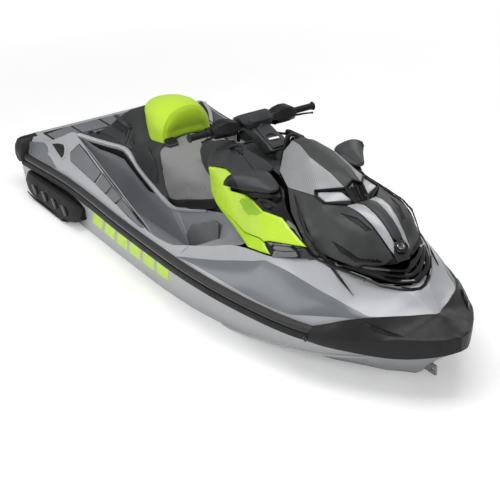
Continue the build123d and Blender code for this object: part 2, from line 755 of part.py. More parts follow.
# distance from the centreline: outline square to the bar
switch_sections = {
    -grip_inner - seat_gap: [(-22, -22), (24, -26), (34, 0), (20, 26), (-18, 24)],
    215: [(-38, -30), (44, -36), (62, 4), (30, 46), (-24, 40)],
    140: [(-36, -26), (46, -34), (64, 6), (34, 44), (-26, 36)],
    92: [(-16, -16), (26, -18), (40, 4), (22, 24), (-14, 20)],
}
switch_housing = Solid.make_loft([bar_section(-y, points) for y, points in switch_sections.items()],
                                 ruled=True) - bar
# lever's corners: ahead of the bar, from the centreline, above the bar
lever_path = ((26, 225, -4), (44, 240, -6), (52, 345, -10))
lever_root, lever_knee, lever_tip = [(bar_x + ahead, -y, bar_z + above) for ahead, y, above in lever_path]
lever = rod(lever_knee, lever_tip, lever_radius) + rod(lever_root, lever_knee, lever_radius + 1)
lever = lever - switch_housing

pod_top = up(overall_height)
pod_low = bar_z + pod_clearance
pod = Solid.make_loft([
    Wire.make_polygon([Vector(-38, y, pod_top - 52), Vector(-30, y, pod_low), Vector(96, y, pod_low),
                       Vector(118, y, pod_low + 12), Vector(60, y, pod_top - drop)], close=True)
    for y, drop in ((-92, 12), (-70, 0), (70, 0), (92, 12))
], ruled=True) - neck - bar

# ---------------------------------------------------------------- blocks of the two mouldings
# Cell walls follow the footwells, the bin, the duct and the recess, so no block bends round a space.
far = 2 * length
whole = (-far, far)
well_back, well_ramp, well_front = along(-1060), along(-880), along(185)
toe_back, toe_front = along(-150), along(30)
well_inner, well_outer = across(275), across(500)
bin_span = (along(bin_back), along(bin_front))
duct_low, duct_high = pump_height - duct_half, pump_height + duct_half
floor_top = footwell_floor + 20


def either_side(offset, limit=far):
    """Spans beyond an offset, to starboard and to port."""
    return [(-limit, -offset), (offset, limit)]


above_floor = (floor_top, far)
well_cells = [((well_back, well_front), (-well_inner, well_inner), above_floor)]
for x_span in ((well_back, well_ramp), (well_ramp, toe_back)):
    well_cells += [(x_span, y_span, above_floor) for y_span in either_side(well_inner)]
for x_span in ((toe_back, toe_front), (toe_front, well_front)):
    y_spans = either_side(well_inner, well_outer) + either_side(well_outer)
    well_cells += [(x_span, y_span, above_floor) for y_span in y_spans]

hull_cells = [((-far, transom_x), whole, (transom_lip, far))]
hull_cells += [((-far, transom_x), y_span, (-far, transom_lip))
               for y_span in either_side(recess_half_width)]
hull_cells += [((transom_x, well_back), y_span, whole) for y_span in either_side(duct_half)]
hull_cells += [((transom_x, well_back), (-duct_half, duct_half), z_span)
               for z_span in ((-far, duct_low), (duct_high, far))]
hull_cells += [((well_back, well_front), y_span, (-far, floor_top))
               for y_span in (*either_side(duct_half), (-duct_half, duct_half))]
hull_cells += well_cells
hull_cells += [((well_front, far), whole, (-far, bin_floor)),
               ((well_front, bin_span[0]), whole, (bin_floor, far)),
               ((bin_span[1], far), whole, (bin_floor, far))]
hull_cells += [(bin_span, y_span, (bin_floor, far)) for y_span in either_side(bin_half_width)]

platform_side = across(platform_half_width)
deck_cells = [((-far, well_back), y_span, whole)
              for y_span in (*either_side(platform_side), (-platform_side, platform_side))]
deck_cells += well_cells
deck_cells += [((well_front, bin_span[0]), whole, whole), ((bin_span[1], far), whole, whole)]
deck_cells += [(bin_span, y_span, whole) for y_span in either_side(bin_half_width)]

rail_walls = [-far, *[along(x) for x in (-800, -400, -70, 190, 470, 760)], far]
rail_cells = [(span, whole, whole) for span in zip(rail_walls, rail_walls[1:])]

# ---------------------------------------------------------------- write every node
save("hull", *in_blocks(hull, hull_cells))
save("deck", *in_blocks(deck, deck_cells))
save("side_rails", *in_blocks(rails[0], rail_cells), *in_blocks(rails[1], rail_cells))
save("bow_bumper", bumper_solid)
save("stern_caps", *caps)
save("engine_block", engine)
save("seat_cowl", cowl)
save("saddle_seat", saddle)
save("backrest", backrest)
save("grab_handle", handle)
save("rear_deck_mat", rear_mat)
save("footwell_mats", *port_and_starboard(footwell_mat))
save("gunwale_pads", *pads)
save("console", console_solid)
save("console_loop", loop)
save("glove_lid", glove_lid)
for name, piece in (("side_panel", side_panel), ("upper_fairing", upper_fairing), ("side_wedge", wedge)):
    for side, solid in zip(("starboard", "port"), port_and_starboard(piece.solids()[0])):
        save(f"{name}_{side}", solid)
save("front_fairing", front_fairing)
save("hood", hood)
save("hood_badge", badge)
save("mirror_housings", *port_and_starboard(mirror.solids()[0]))
save("mirror_glasses", *port_and_starboard(mirror_glass.solids()[0]))
save("sponsons", *port_and_starboard(sponson))
save("bow_eye", bow_eye)
save("stern_eyes", *port_and_starboard(stern_eye.solids()[0]))
save("drain_plugs", *port_and_starboard(drain_plug))
save("ride_plate", ride_plate)
save("intake_grate", grate)
save("pump_housing", housing)
save("impeller", impeller)
save("drive_shaft", shaft)
save("steering_nozzle", nozzle)
save("reverse_bucket", bucket)
save("steering_neck", neck)
save("handlebar_tube", bar)
save("grips", *port_and_starboard(grip.solids()[0]))
save("switch_housings", *port_and_starboard(switch_housing.solids()[0]))
save("control_levers", *port_and_starboard(lever.solids()[0]))
save("gauge_pod", pod)
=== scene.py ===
import bpy
import json
import math
import numpy as np
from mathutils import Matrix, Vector
from mathutils.geometry import delaunay_2d_cdt


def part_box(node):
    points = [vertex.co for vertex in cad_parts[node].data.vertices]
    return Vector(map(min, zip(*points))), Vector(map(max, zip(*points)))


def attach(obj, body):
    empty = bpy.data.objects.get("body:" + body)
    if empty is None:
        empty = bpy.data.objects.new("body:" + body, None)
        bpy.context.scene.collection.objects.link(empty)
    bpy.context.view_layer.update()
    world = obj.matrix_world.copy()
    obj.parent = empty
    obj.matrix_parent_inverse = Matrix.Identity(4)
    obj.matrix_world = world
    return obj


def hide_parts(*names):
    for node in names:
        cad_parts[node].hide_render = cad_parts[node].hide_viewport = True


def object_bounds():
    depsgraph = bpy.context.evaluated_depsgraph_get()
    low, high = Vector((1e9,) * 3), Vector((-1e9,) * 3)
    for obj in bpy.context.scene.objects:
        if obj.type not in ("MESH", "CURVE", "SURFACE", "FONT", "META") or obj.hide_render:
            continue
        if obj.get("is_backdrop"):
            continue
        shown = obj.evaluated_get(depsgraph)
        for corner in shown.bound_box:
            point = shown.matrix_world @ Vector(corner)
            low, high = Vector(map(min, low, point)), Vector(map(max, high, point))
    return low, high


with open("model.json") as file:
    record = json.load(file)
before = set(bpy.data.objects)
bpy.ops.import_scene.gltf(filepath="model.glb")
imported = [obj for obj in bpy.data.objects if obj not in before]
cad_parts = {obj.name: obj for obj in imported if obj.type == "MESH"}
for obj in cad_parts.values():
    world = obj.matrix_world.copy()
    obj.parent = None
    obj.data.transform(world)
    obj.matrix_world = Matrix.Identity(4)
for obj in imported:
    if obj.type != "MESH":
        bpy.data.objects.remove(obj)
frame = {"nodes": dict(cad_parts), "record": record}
cad_low, cad_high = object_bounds()

# ---------------------------------------- frame and units
# Design coordinates are millimetres: x ahead of amidships, y to port, z above the keel.
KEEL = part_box("hull")[0].z
DESIGN_LENGTH, DESIGN_BEAM, MM = 3.318, 1.255, 1000
STRETCH_X = (cad_high.x - cad_low.x) / DESIGN_LENGTH
STRETCH_Y = (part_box("side_rails")[1].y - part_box("side_rails")[0].y) / DESIGN_BEAM
WATER = frame["record"]["mounts"][0]["pos_m"][2]


def place(x, y, z):
    """Row-frame point, in metres, of a design point."""
    return Vector((x * STRETCH_X / MM, y * STRETCH_Y / MM, KEEL + z / MM))


def srgb(*values):
    """Linear colour of display values from 0 to 1."""
    linear = [v / 12.92 if v <= 0.04045 else ((v + 0.055) / 1.055) ** 2.4 for v in values]
    return (*linear, 1.0)


# ---------------------------------------- materials
class Nodes:
    """A material's node tree with short calls."""

    def __init__(self, name):
        self.material = bpy.data.materials.new(name)
        self.material.use_nodes = True
        self.tree = self.material.node_tree
        self.shader = self.tree.nodes["Principled BSDF"]
        self.coords = self.add("ShaderNodeTexCoord").outputs["Object"]

    def add(self, kind, **settings):
        node = self.tree.nodes.new(kind)
        for key, value in settings.items():
            if hasattr(node, key):
                setattr(node, key, value)
            else:
                node.inputs[key.replace("_", " ")].default_value = value
        return node

    def link(self, source, target):
        self.tree.links.new(source, target)

    def noise(self, scale, detail=3.0):
        node = self.add("ShaderNodeTexNoise", Scale=scale, Detail=detail)
        self.link(self.coords, node.inputs["Vector"])
        return node.outputs["Fac"]

    def cells(self, scale):
        node = self.add("ShaderNodeTexVoronoi", Scale=scale)
        self.link(self.coords, node.inputs["Vector"])
        return node.outputs["Distance"]

    def bands(self, scale, direction, profile="SIN"):
        node = self.add("ShaderNodeTexWave", bands_direction=direction, wave_profile=profile, Scale=scale)
        self.link(self.coords, node.inputs["Vector"])
        return node.outputs["Fac"]

    def math(self, operation, a, b=0.5):
        node = self.add("ShaderNodeMath", operation=operation)
        for socket, value in zip(node.inputs, (a, b)):
            if hasattr(value, "is_output"):
                self.link(value, socket)
            else:
                socket.default_value = value
        return node.outputs[0]

    def ramp(self, factor, low, high, start=0.0, end=1.0):
        node = self.add("ShaderNodeMapRange", From_Min=start, From_Max=end, To_Min=low, To_Max=high)
        self.link(factor, node.inputs["Value"])
        return node.outputs["Result"]

    def mix(self, factor, a, b):
        node = self.add("ShaderNodeMix", data_type="RGBA")
        for socket, value in zip((node.inputs[0], node.inputs[6], node.inputs[7]), (factor, a, b)):
            if hasattr(value, "is_output"):
                self.link(value, socket)
            else:
                socket.default_value = value
        return node.outputs[2]

    def bump(self, height, strength, distance):
        node = self.add("ShaderNodeBump", Strength=strength, Distance=distance)
        self.link(height, node.inputs["Height"])
        if self.shader.inputs["Normal"].is_linked:
            self.link(self.shader.inputs["Normal"].links[0].from_socket, node.inputs["Normal"])
        self.link(node.outputs["Normal"], self.shader.inputs["Normal"])

    def colour(self, source):
        self.link(source, self.shader.inputs["Base Color"])

    def set(self, **values):
        for key, value in values.items():
            self.shader.inputs[key.replace("_", " ")].default_value = value


def surface(name, colour, shade=0.85, rough=(0.3, 0.42), grain=120.0, grain_depth=0.0, cloud=6.0,
        **constants):
    """Material whose colour clouds slightly, whose gloss varies, and which may carry a moulded grain."""
    m = Nodes(name)
    dark = tuple(c * shade for c in colour[:3]) + (1.0,)
    clouds = m.ramp(m.noise(cloud, 4.0), 0.0, 1.0, 0.3, 0.7)
    m.colour(m.mix(clouds, dark, colour))
    m.link(m.ramp(m.noise(cloud * 7, 5.0), rough[0], rough[1], 0.3, 0.7), m.shader.inputs["Roughness"])
    if grain_depth:
        m.bump(m.noise(grain, 6.0), 0.6, grain_depth)
    m.set(Specular_IOR_Level=0.3)
    m.set(**constants)
    return m


def flake_paint(name, colour, shade, rough=(0.34, 0.42)):
    """Metallic paint: fine flake in the colour, a clear coat over it."""
    m = Nodes(name)
    flakes = m.ramp(m.cells(900.0), 0.0, 1.0, 0.1, 0.75)
    dark = tuple(c * (1 + 3 * shade) / 4 for c in colour[:3]) + (1.0,)
    tone = m.mix(flakes, dark, colour)
    broad = m.ramp(m.noise(2.2, 2.0), 0.92, 1.0, 0.3, 0.7)
    scaled = m.add("ShaderNodeHueSaturation")
    m.link(tone, scaled.inputs["Color"])
    m.link(broad, scaled.inputs["Value"])
    m.colour(scaled.outputs["Color"])
    m.link(m.ramp(m.noise(30.0, 4.0), rough[0], rough[1], 0.3, 0.7), m.shader.inputs["Roughness"])
    m.set(Metallic=0.12, Coat_Weight=0.35, Coat_Roughness=0.14)
    return m


silver = flake_paint("silver_paint", srgb(0.70, 0.705, 0.72), 0.9)
hull_silver = flake_paint("hull_silver_paint", srgb(0.72, 0.725, 0.735), 0.9)


def woven_paint(name, colour):
    """Silver paint with a fine printed weave of small cells."""
    m = flake_paint(name, colour, 0.88, (0.34, 0.42))
    rows = m.bands(46.0, "X")
    slants = m.bands(38.0, "DIAGONAL")
    weave = m.math("MULTIPLY", rows, slants)
    base = m.shader.inputs["Base Color"].links[0].from_socket
    m.colour(m.mix(m.ramp(weave, 0.0, 0.55, 0.2, 0.6), base, tuple(c * 0.42 for c in colour[:3])
        + (1.0,)))
    return m


hood_silver = woven_paint("hood_woven_silver", srgb(0.60, 0.605, 0.61))
# accent panels: partly their own darker paint, partly painted shade of their hollow
accent_and_painted_shade = flake_paint("accent_paint_and_painted_shade", srgb(0.44, 0.46, 0.475), 0.9, (0.36, 0.44))
charcoal = surface("charcoal_plastic", srgb(0.225, 0.23, 0.235), 0.86, (0.34, 0.48), 340.0, 0.0004)
charcoal_matt = surface("charcoal_matt", srgb(0.205, 0.21, 0.215), 0.86, (0.5, 0.64), 420.0, 0.0006)
hood_paint = flake_paint("hood_charcoal", srgb(0.235, 0.24, 0.24), 0.9, (0.5, 0.58))
hood_paint.set(Coat_Weight=0.12, Coat_Roughness=0.3, Specular_IOR_Level=0.35)
rubber = surface("bumper_rubber", srgb(0.115, 0.12, 0.125), 0.8, (0.42, 0.6), 260.0, 0.0005)
black = surface("black_plastic", srgb(0.075, 0.075, 0.08), 0.8, (0.4, 0.56), 380.0, 0.0005)
gloss_black = surface("gloss_black", srgb(0.04, 0.04, 0.045), 0.7, (0.07, 0.14), 40.0, 0.0, 5.0,
    Coat_Weight=0.7, Coat_Roughness=0.04)
green = surface("green_plastic", srgb(0.78, 0.93, 0.20), 0.94, (0.26, 0.36), 60.0, 0.0, 4.0,
    Coat_Weight=0.35, Coat_Roughness=0.1)
# darker green for the floor of the side panel's recess: painted shade of the recess
recess_green_painted_shade = surface("green_recess_painted_shade", srgb(0.62, 0.82, 0.06), 0.9, (0.3, 0.42), 60.0, 0.0, 4.0,
    Coat_Weight=0.2, Coat_Roughness=0.15)
steel = surface("steel", srgb(0.66, 0.66, 0.67), 0.86, (0.2, 0.34), 60.0, 0.0, 12.0, Metallic=1.0)
alloy = surface("pump_alloy", srgb(0.56, 0.57, 0.58), 0.8, (0.38, 0.55), 300.0, 0.0007, 10.0,
    Metallic=0.85)
engine_metal = surface("engine_metal", srgb(0.42, 0.43, 0.44), 0.75, (0.4, 0.6), 200.0, 0.0008, 10.0,
    Metallic=0.6)
label_white = surface("blank_label", srgb(0.93, 0.93, 0.92), 0.96, (0.4, 0.5), 300.0, 0.0001)


def floor_material():
    m = Nodes("pale_floor")
    tone = m.mix(m.ramp(m.noise(3.0, 4.0), 0.0, 1.0, 0.3, 0.7), srgb(0.965, 0.965, 0.965),
        srgb(0.985, 0.985, 0.985))
    m.colour(tone)
    m.set(Roughness=0.8)
    # the camera sees a floor a little brighter than it is lit, and plain white further out
    eye = m.add("ShaderNodeLightPath").outputs["Is Camera Ray"]
    distance = m.add("ShaderNodeVectorMath", operation="LENGTH")
    m.link(m.coords, distance.inputs[0])
    lift, white = m.add("ShaderNodeEmission"), m.add("ShaderNodeEmission")
    m.link(m.math("MULTIPLY", eye, 0.22), lift.inputs["Strength"])
    both, far_white = m.add("ShaderNodeAddShader"), m.add("ShaderNodeMixShader")
    m.link(m.shader.outputs["BSDF"], both.inputs[0])
    m.link(lift.outputs["Emission"], both.inputs[1])
    m.link(m.math("MULTIPLY", eye, m.ramp(distance.outputs["Value"], 0.0, 1.0, 1.6, 4.2)),
        far_white.inputs["Fac"])
    m.link(both.outputs["Shader"], far_white.inputs[1])
    m.link(white.outputs["Emission"], far_white.inputs[2])
    m.link(far_white.outputs["Shader"], m.tree.nodes["Material Output"].inputs["Surface"])
    return m.material


pedestal_grey = surface("pedestal_grey", srgb(0.60, 0.61, 0.625), 0.86, (0.34, 0.46), 260.0, 0.0003, 3.0,
    Coat_Weight=0.15)
mat_grey = surface("mat_foam", srgb(0.46, 0.47, 0.48), 0.9, (0.6, 0.75), 420.0, 0.0006, 5.0)
mat_grey.bump(mat_grey.bands(18.0, "DIAGONAL", "SAW"), 0.35, 0.0012)
rail_grey = surface("rail_grey", srgb(0.225, 0.225, 0.23), 0.86, (0.38, 0.5), 300.0, 0.0004, 5.0)
# darker green for the side panels' lower facets below the crease: painted shade, as they face away from
# the light
lower_green_painted_shade = surface("green_lower_painted_shade", srgb(0.71, 0.88, 0.13), 0.93, (0.28, 0.38), 60.0, 0.0, 4.0,
    Coat_Weight=0.3, Coat_Roughness=0.12)
bumper_grey = surface("bumper_grey", srgb(0.13, 0.13, 0.135), 0.84, (0.36, 0.5), 300.0, 0.0004, 4.0)


def vinyl(name, colour, shade=0.9):
    """Coated fabric: fine pebble grain, a soft sheen, colour that clouds slightly."""
    m = surface(name, colour, shade, (0.48, 0.6), 520.0, 0.0, 3.0)
    m.bump(m.cells(420.0), 0.35, 0.0007)
    m.bump(m.noise(90.0, 3.0), 0.25, 0.0012)
    m.set(Sheen_Weight=0.12, Sheen_Roughness=0.5)
    return m


saddle_vinyl = vinyl("saddle_vinyl", srgb(0.53, 0.53, 0.53))
green_vinyl = vinyl("green_vinyl", srgb(0.74, 0.88, 0.20), 0.95)
# darker green for the backrest's front face: painted shade
green_vinyl_painted_shade = vinyl("green_vinyl_front_painted_shade", srgb(0.64, 0.78, 0.12), 0.95)
mirror_glass = surface("mirror_glass", srgb(0.78, 0.79, 0.80), 0.97, (0.04, 0.07), 60.0, 0.0, 8.0,
    Metallic=1.0)


# ---------------------------------------- mesh kit
def build(name, points, faces, finishes, slot, body="hull", paint=None, sharp=32.0, replaces=()):
    """Shown piece from design points; paint gives each face its finish."""
    mesh = bpy.data.meshes.new(name)
    mesh.from_pydata([place(*p) for p in points], [], faces)
    mesh.update()
    for finish in finishes if isinstance(finishes, (list, tuple)) else [finishes]:
        mesh.materials.append(finish.material)
    if paint is not None:
        mesh.polygons.foreach_set("material_index", paint)
    mesh.polygons.foreach_set("use_smooth", [True] * len(mesh.polygons))
    mesh.set_sharp_from_angle(angle=math.radians(sharp))
    piece = bpy.data.objects.new(name, mesh)
    bpy.context.scene.collection.objects.link(piece)
    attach(piece, body)
    if replaces:
        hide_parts(*replaces)
    return piece


class Shape:
    """Points and faces gathered from several forms, each face with the number of its finish."""

    def __init__(self):
        self.points, self.faces, self.paint = [], [], []

    def add(self, points, faces, finish=0):
        start = len(self.points)
        self.points += [tuple(p) for p in points]
        self.faces += [tuple(start + i for i in face) for face in faces]
        self.paint += finish if isinstance(finish, list) else [finish] * len(faces)
        return self

    def plate(self, finish, *form, **options):
        return self.add(*plate(*form, **options), finish)

    def tube(self, finish, *form, **options):
        return self.add(*tube(*form, **options), finish)

    def turned(self, finish, *form):
        return self.add(*turned(*form), finish)

    def skin(self, finish, *form):
        return self.add(*skin(*form), finish)

    def mirrored(self):
        """Adds a port copy of everything so far."""
        start, count = len(self.points), len(self.faces)
        self.points += [(x, -y, z) for x, y, z in self.points]
        self.faces += [tuple(start + i for i in reversed(face)) for face in self.faces[:count]]
        self.paint += self.paint[:count]
        return self

    def flipped(self):
        """The port copy alone."""
        other = Shape()
        other.points = [(x, -y, z) for x, y, z in self.points]
        other.faces = [tuple(reversed(face)) for face in self.faces]
        other.paint = list(self.paint)
        return other

    def build(self, name, finishes, slot, **options):
        return build(name, self.points, self.faces, finishes, slot, paint=self.paint, **options)


class Lines:
    """Body lines: values at stations, joined by curves that never overshoot."""

    def __init__(self, table):
        self.x = np.array(sorted(table), float)
        self.v = np.array([table[x] for x in sorted(table)], float)
        step = np.diff(self.x)[:, None]
        slope = np.diff(self.v, axis=0) / step
        tangent = np.zeros_like(self.v)
        tangent[0], tangent[-1] = slope[0], slope[-1]
        before, after = slope[:-1], slope[1:]
        w1, w2 = 2 * step[1:] + step[:-1], step[1:] + 2 * step[:-1]
        with np.errstate(divide="ignore", invalid="ignore"):
            mean = (w1 + w2) / (w1 / before + w2 / after)
        tangent[1:-1] = np.where(before * after > 0, mean, 0.0)
        self.tangent = tangent

    def __call__(self, x):
        x = min(max(x, self.x[0]), self.x[-1])
        i = min(int(np.searchsorted(self.x, x, side="right")) - 1, len(self.x) - 2)
        h = self.x[i + 1] - self.x[i]
        t = (x - self.x[i]) / h
        return ((1 + 2 * t) * (1 - t) ** 2 * self.v[i] + t * (1 - t) ** 2 * h * self.tangent[i]
            + t * t * (3 - 2 * t) * self.v[i + 1] + t * t * (t - 1) * h * self.tangent[i + 1])


def soften(points, radius, closed=False, steps=3):
    """Polyline with each corner rounded off; radius may differ from corner to corner."""
    points = [np.array(p, float) for p in points]
    out = []
    count = len(points)
    for i, p in enumerate(points):
        if not closed and i in (0, count - 1):
            out.append(p)
            continue
        r = radius[i] if isinstance(radius, (list, tuple)) else radius
        a, b = points[i - 1] - p, points[(i + 1) % count] - p
        la, lb = max(np.linalg.norm(a), 1e-6), max(np.linalg.norm(b), 1e-6)
        pa, pb = p + a / la * min(r, la * 0.45), p + b / lb * min(r, lb * 0.45)
        for k in range(steps + 1):
            t = k / steps
            out.append((1 - t) ** 2 * pa + 2 * t * (1 - t) * p + t * t * pb)
    return out


def build_pair(form, name, finishes, slot, node):
    """Starboard form and its port copy, each in place of its side's node."""
    for side, shape in (("starboard", form), ("port", form.flipped())):
        shape.build(name + side, finishes, slot, replaces=[node + side])


def angles(count, closed=False):
    """Equal steps round a circle; a closed row ends where it began."""
    return [2 * math.pi * k / count for k in range(count + closed)]


def pairs(values):
    """Values two by two, as offset and height."""
    return list(zip(values[::2], values[1::2]))


def spread(start, end, count):
    return [start + (end - start) * i / (count - 1) for i in range(count)]


def skin(rows, closed=False, caps=False):
    """Quads between rows of points with the same count."""
    points = [tuple(p) for row in rows for p in row]
    n = len(rows[0])
    faces = []
    for j in range(len(rows) - 1):
        for i in range(n if closed else n - 1):
            k = (i + 1) % n
            faces.append((j * n + i, j * n + k, (j + 1) * n + k, (j + 1) * n + i))
    if caps:
        faces.append(tuple(reversed(range(n))))
        faces.append(tuple((len(rows) - 1) * n + i for i in range(n)))
    return points, faces


def loft(stations, outline_at):
    """Skin over outlines (y, z) at stations along the craft."""
    return skin([[(x, y, z) for y, z in outline_at(x)] for x in stations], closed=True, caps=True)


def divide(outline, step, closed=True):
    """Outline with points added so that none are further apart than step."""
    outline = [np.array(p, float) for p in outline]
    out = []
    pairs = zip(outline, outline[1:] + (outline[:1] if closed else []))
    for a, b in pairs:
        n = max(1, int(math.ceil(np.linalg.norm(b - a) / step)))
        out += [a + (b - a) * i / n for i in range(n)]
    if not closed:
        out.append(outline[-1])
    return out


def distance_to(points, outline):
    """Distance from each 2-D point to the closed outline."""
    a = np.array(outline)
    b = np.roll(a, -1, axis=0)
    best = np.full(len(points), 1e9)
    for p, q in zip(a, b):
        d = q - p
        t = np.clip(((points - p) @ d) / max(d @ d, 1e-9), 0, 1)
        best = np.minimum(best, np.linalg.norm(points - p - t[:, None] * d, axis=1))
    return best


def inside(points, outline):
    a = np.array(outline)
    b = np.roll(a, -1, axis=0)
    hit = np.zeros(len(points), bool)
    for (x1, y1), (x2, y2) in zip(a, b):
        if y1 == y2:
            continue
        crosses = (points[:, 1] > min(y1, y2)) & (points[:, 1] <= max(y1, y2))
        at_x = x1 + (points[:, 1] - y1) / (y2 - y1) * (x2 - x1)
        hit ^= crosses & (points[:, 0] < at_x)
    return hit


def shrunk(ring, by):
    """Closed outline moved inward."""
    ring = np.array(ring)
    ahead, behind = np.roll(ring, -1, axis=0) - ring, ring - np.roll(ring, 1, axis=0)
    normal = np.stack([-(ahead[:, 1] + behind[:, 1]), ahead[:, 0] + behind[:, 0]], 1)
    normal /= np.maximum(np.linalg.norm(normal, axis=1), 1e-6)[:, None]
    moved = ring + normal * by
    return moved if inside(moved, ring).mean() > 0.5 else ring - normal * by


def patch(outline, surface, step=14.0, lift=3.0, edge=3.0, drop=2.5, depth=4.0, crown=0.0, pockets=()):
    """Panel on surface(u, v), which gives a point and its normal. Its face stands lift above the
    surface and swells by crown, its rim rounds off by drop over edge, and its wall goes down by depth.
    Each pocket is an outline in the panel and how far its floor lies below the face."""
    rim = [tuple(p) for p in divide([p[:2] for p in outline], step)]
    ring = np.array(rim)
    area = 0.5 * np.sum(ring[:, 0] * np.roll(ring[:, 1], -1) - np.roll(ring[:, 0], -1) * ring[:, 1])
    if area < 0:
        rim = rim[::-1]
        ring = ring[::-1]
    ahead, behind = np.roll(ring, -1, axis=0) - ring, ring - np.roll(ring, 1, axis=0)
    normal = np.stack([-(ahead[:, 1] + behind[:, 1]), ahead[:, 0] + behind[:, 0]], 1)
    normal /= np.maximum(np.linalg.norm(normal, axis=1), 1e-6)[:, None]
    extra = [ring + normal * edge * share for share in (0.35, 1.0)]
    low, high = ring.min(0), ring.max(0)
    xs = np.arange(low[0] + step / 2, high[0], step)
    ys = np.arange(low[1] + step / 2, high[1], step)
    grid = np.array([(x, y) for x in xs for y in ys]) if len(xs) and len(ys) else np.zeros((0, 2))
    loose = np.concatenate(extra + [grid])
    away = distance_to(loose, ring)
    keep = inside(loose, ring) & (away > edge * 0.3)
    if len(grid):
        keep[-len(grid):] &= away[-len(grid):] > edge * 1.3
    loose = loose[keep]
    n = len(rim)
    walls = []
    for pocket, sunk in pockets:
        upper = np.array(divide(pocket, step))
        lower = shrunk(upper, 5.0)
        away = distance_to(loose, upper)
        loose = loose[(away > 6.5) | ~inside(loose, upper) & (away > 2.0)]
        walls.append((upper, lower, sunk))
    flat = [Vector(p) for p in rim] + [Vector(p) for p in loose]
    edges = [(i, (i + 1) % n) for i in range(n)]
    for upper, lower, _ in walls:
        for loop in (upper, lower):
            first = len(flat)
            flat += [Vector(p) for p in loop]
            edges += [(first + i, first + (i + 1) % len(loop)) for i in range(len(loop))]
    found = delaunay_2d_cdt(flat, edges, [], 1, 1e-4)
    verts = np.array([tuple(v) for v in found[0]])
    faces = [tuple(f) for f in found[2]]
    centre = np.array([verts[list(f)].mean(0) for f in faces])
    faces = [f for f, ok in zip(faces, inside(centre, ring)) if ok]
    away = distance_to(verts, ring)
    reach = max(away.max(), 1e-6)
    sunken = np.zeros(len(verts))
    for upper, lower, sunk in walls:
        sunken[inside(verts, upper) & ((distance_to(verts, lower) < 0.3) | inside(verts, lower))] = sunk
    points = []
    for (u, v), d, fall in zip(verts, away, sunken):
        base, out = surface(u, v)
        soft = min(d / edge, 1.0)
        height = lift - drop * (1 - math.sqrt(max(0.0, 1 - (1 - soft) ** 2)))
        swell = min(d / reach, 1.0)
        height += crown * (1 - (1 - swell) ** 2) - fall
        points.append(tuple(base + out * height))
    lookup = {}
    for i, v in enumerate(verts):
        lookup[(round(v[0], 2), round(v[1], 2))] = i
    loop = [lookup.get((round(p[0], 2), round(p[1], 2))) for p in rim]
    loop = [i for i in loop if i is not None]
    start = len(points)
    for i in loop:
        base, out = surface(*verts[i])
        points.append(tuple(base + out * (lift - drop - depth)))
    count = len(loop)
    for k in range(count):
        m = (k + 1) % count
        faces.append((loop[m], loop[k], start + k, start + m))
    first = np.cross(np.array(points[faces[0][1]]) - points[faces[0][0]],
        np.array(points[faces[0][2]]) - points[faces[0][0]])
    out = surface(*verts[faces[0][0]])[1]
    if first @ out < 0:
        faces = [tuple(reversed(f)) for f in faces]
    return points, faces


def thin_plate(flat, heights):
    """Smooth height over a plane through given heights."""
    flat, heights = np.array(flat, float), np.array(heights, float)
    scale = max(np.ptp(flat, axis=0).max(), 1.0)
    flat = flat / scale
    n = len(flat)
    r = np.linalg.norm(flat[:, None] - flat[None], axis=2)
    k = np.where(r > 0, r * r * np.log(np.maximum(r, 1e-12)), 0) + np.eye(n) * 1e-4
    p = np.concatenate([np.ones((n, 1)), flat], 1)
    system = np.zeros((n + 3, n + 3))
    system[:n, :n], system[:n, n:], system[n:, :n] = k, p, p.T
    solved = np.linalg.lstsq(system, np.concatenate([heights, np.zeros(3)]), rcond=None)[0]

    def height(u, v):
        q = np.array([u, v]) / scale
        d = np.linalg.norm(flat - q, axis=1)
        b = np.where(d > 0, d * d * np.log(np.maximum(d, 1e-12)), 0)
        return b @ solved[:n] + solved[n] + solved[n + 1:] @ q

    return height


def plate(outline, out=(0, -1, 0), inner=(), pockets=(), **options):
    """Panel through 3-D corners, with straight or gently curved sides and a smooth face."""
    corners = [np.array(p, float) for p in outline]
    marks = divide(corners, 45.0) + [np.array(p, float) for p in inner]
    middle = np.mean(corners, axis=0)
    _, _, axes = np.linalg.svd(np.array(marks) - middle)
    normal = axes[2] * (1 if axes[2] @ np.array(out, float) > 0 else -1)
    along, aside = axes[0], np.cross(normal, axes[0])
    height = thin_plate([((p - middle) @ along, (p - middle) @ aside) for p in marks],
        [(p - middle) @ normal for p in marks])

    def surface_at(u, v):
        h, reach = height(u, v), 2.0
        point = middle + along * u + aside * v + normal * h
        du, dv = (height(u + reach, v) - h) / reach, (height(u, v + reach) - h) / reach
        up = normal - along * du - aside * dv
        return point, up / np.linalg.norm(up)

    def flattened(points):
        return [((p - middle) @ along, (p - middle) @ aside) for p in (np.array(q, float)
            for q in points)]

    options["pockets"] = [(flattened(pocket), sunk) for pocket, sunk in pockets]
    return patch(flattened(corners), surface_at, **options)


def painted(form, regions, out, finish):
    """Form with a finish for each face: that of the region it lies in, or else the given one."""
    points, faces = form
    out = np.array(out, float) / np.linalg.norm(out)
    side = np.cross(out, (1.0, 0, 0))
    side /= np.linalg.norm(side)
    axes = np.array([side, np.cross(out, side)]).T
    flat = np.array(points) @ axes
    centre = np.array([flat[list(face)].mean(0) for face in faces])
    paint = np.full(len(faces), finish)
    for outline, value in regions:
        paint[inside(centre, np.array(outline, float) @ axes)] = value
    return points, faces, paint.tolist()


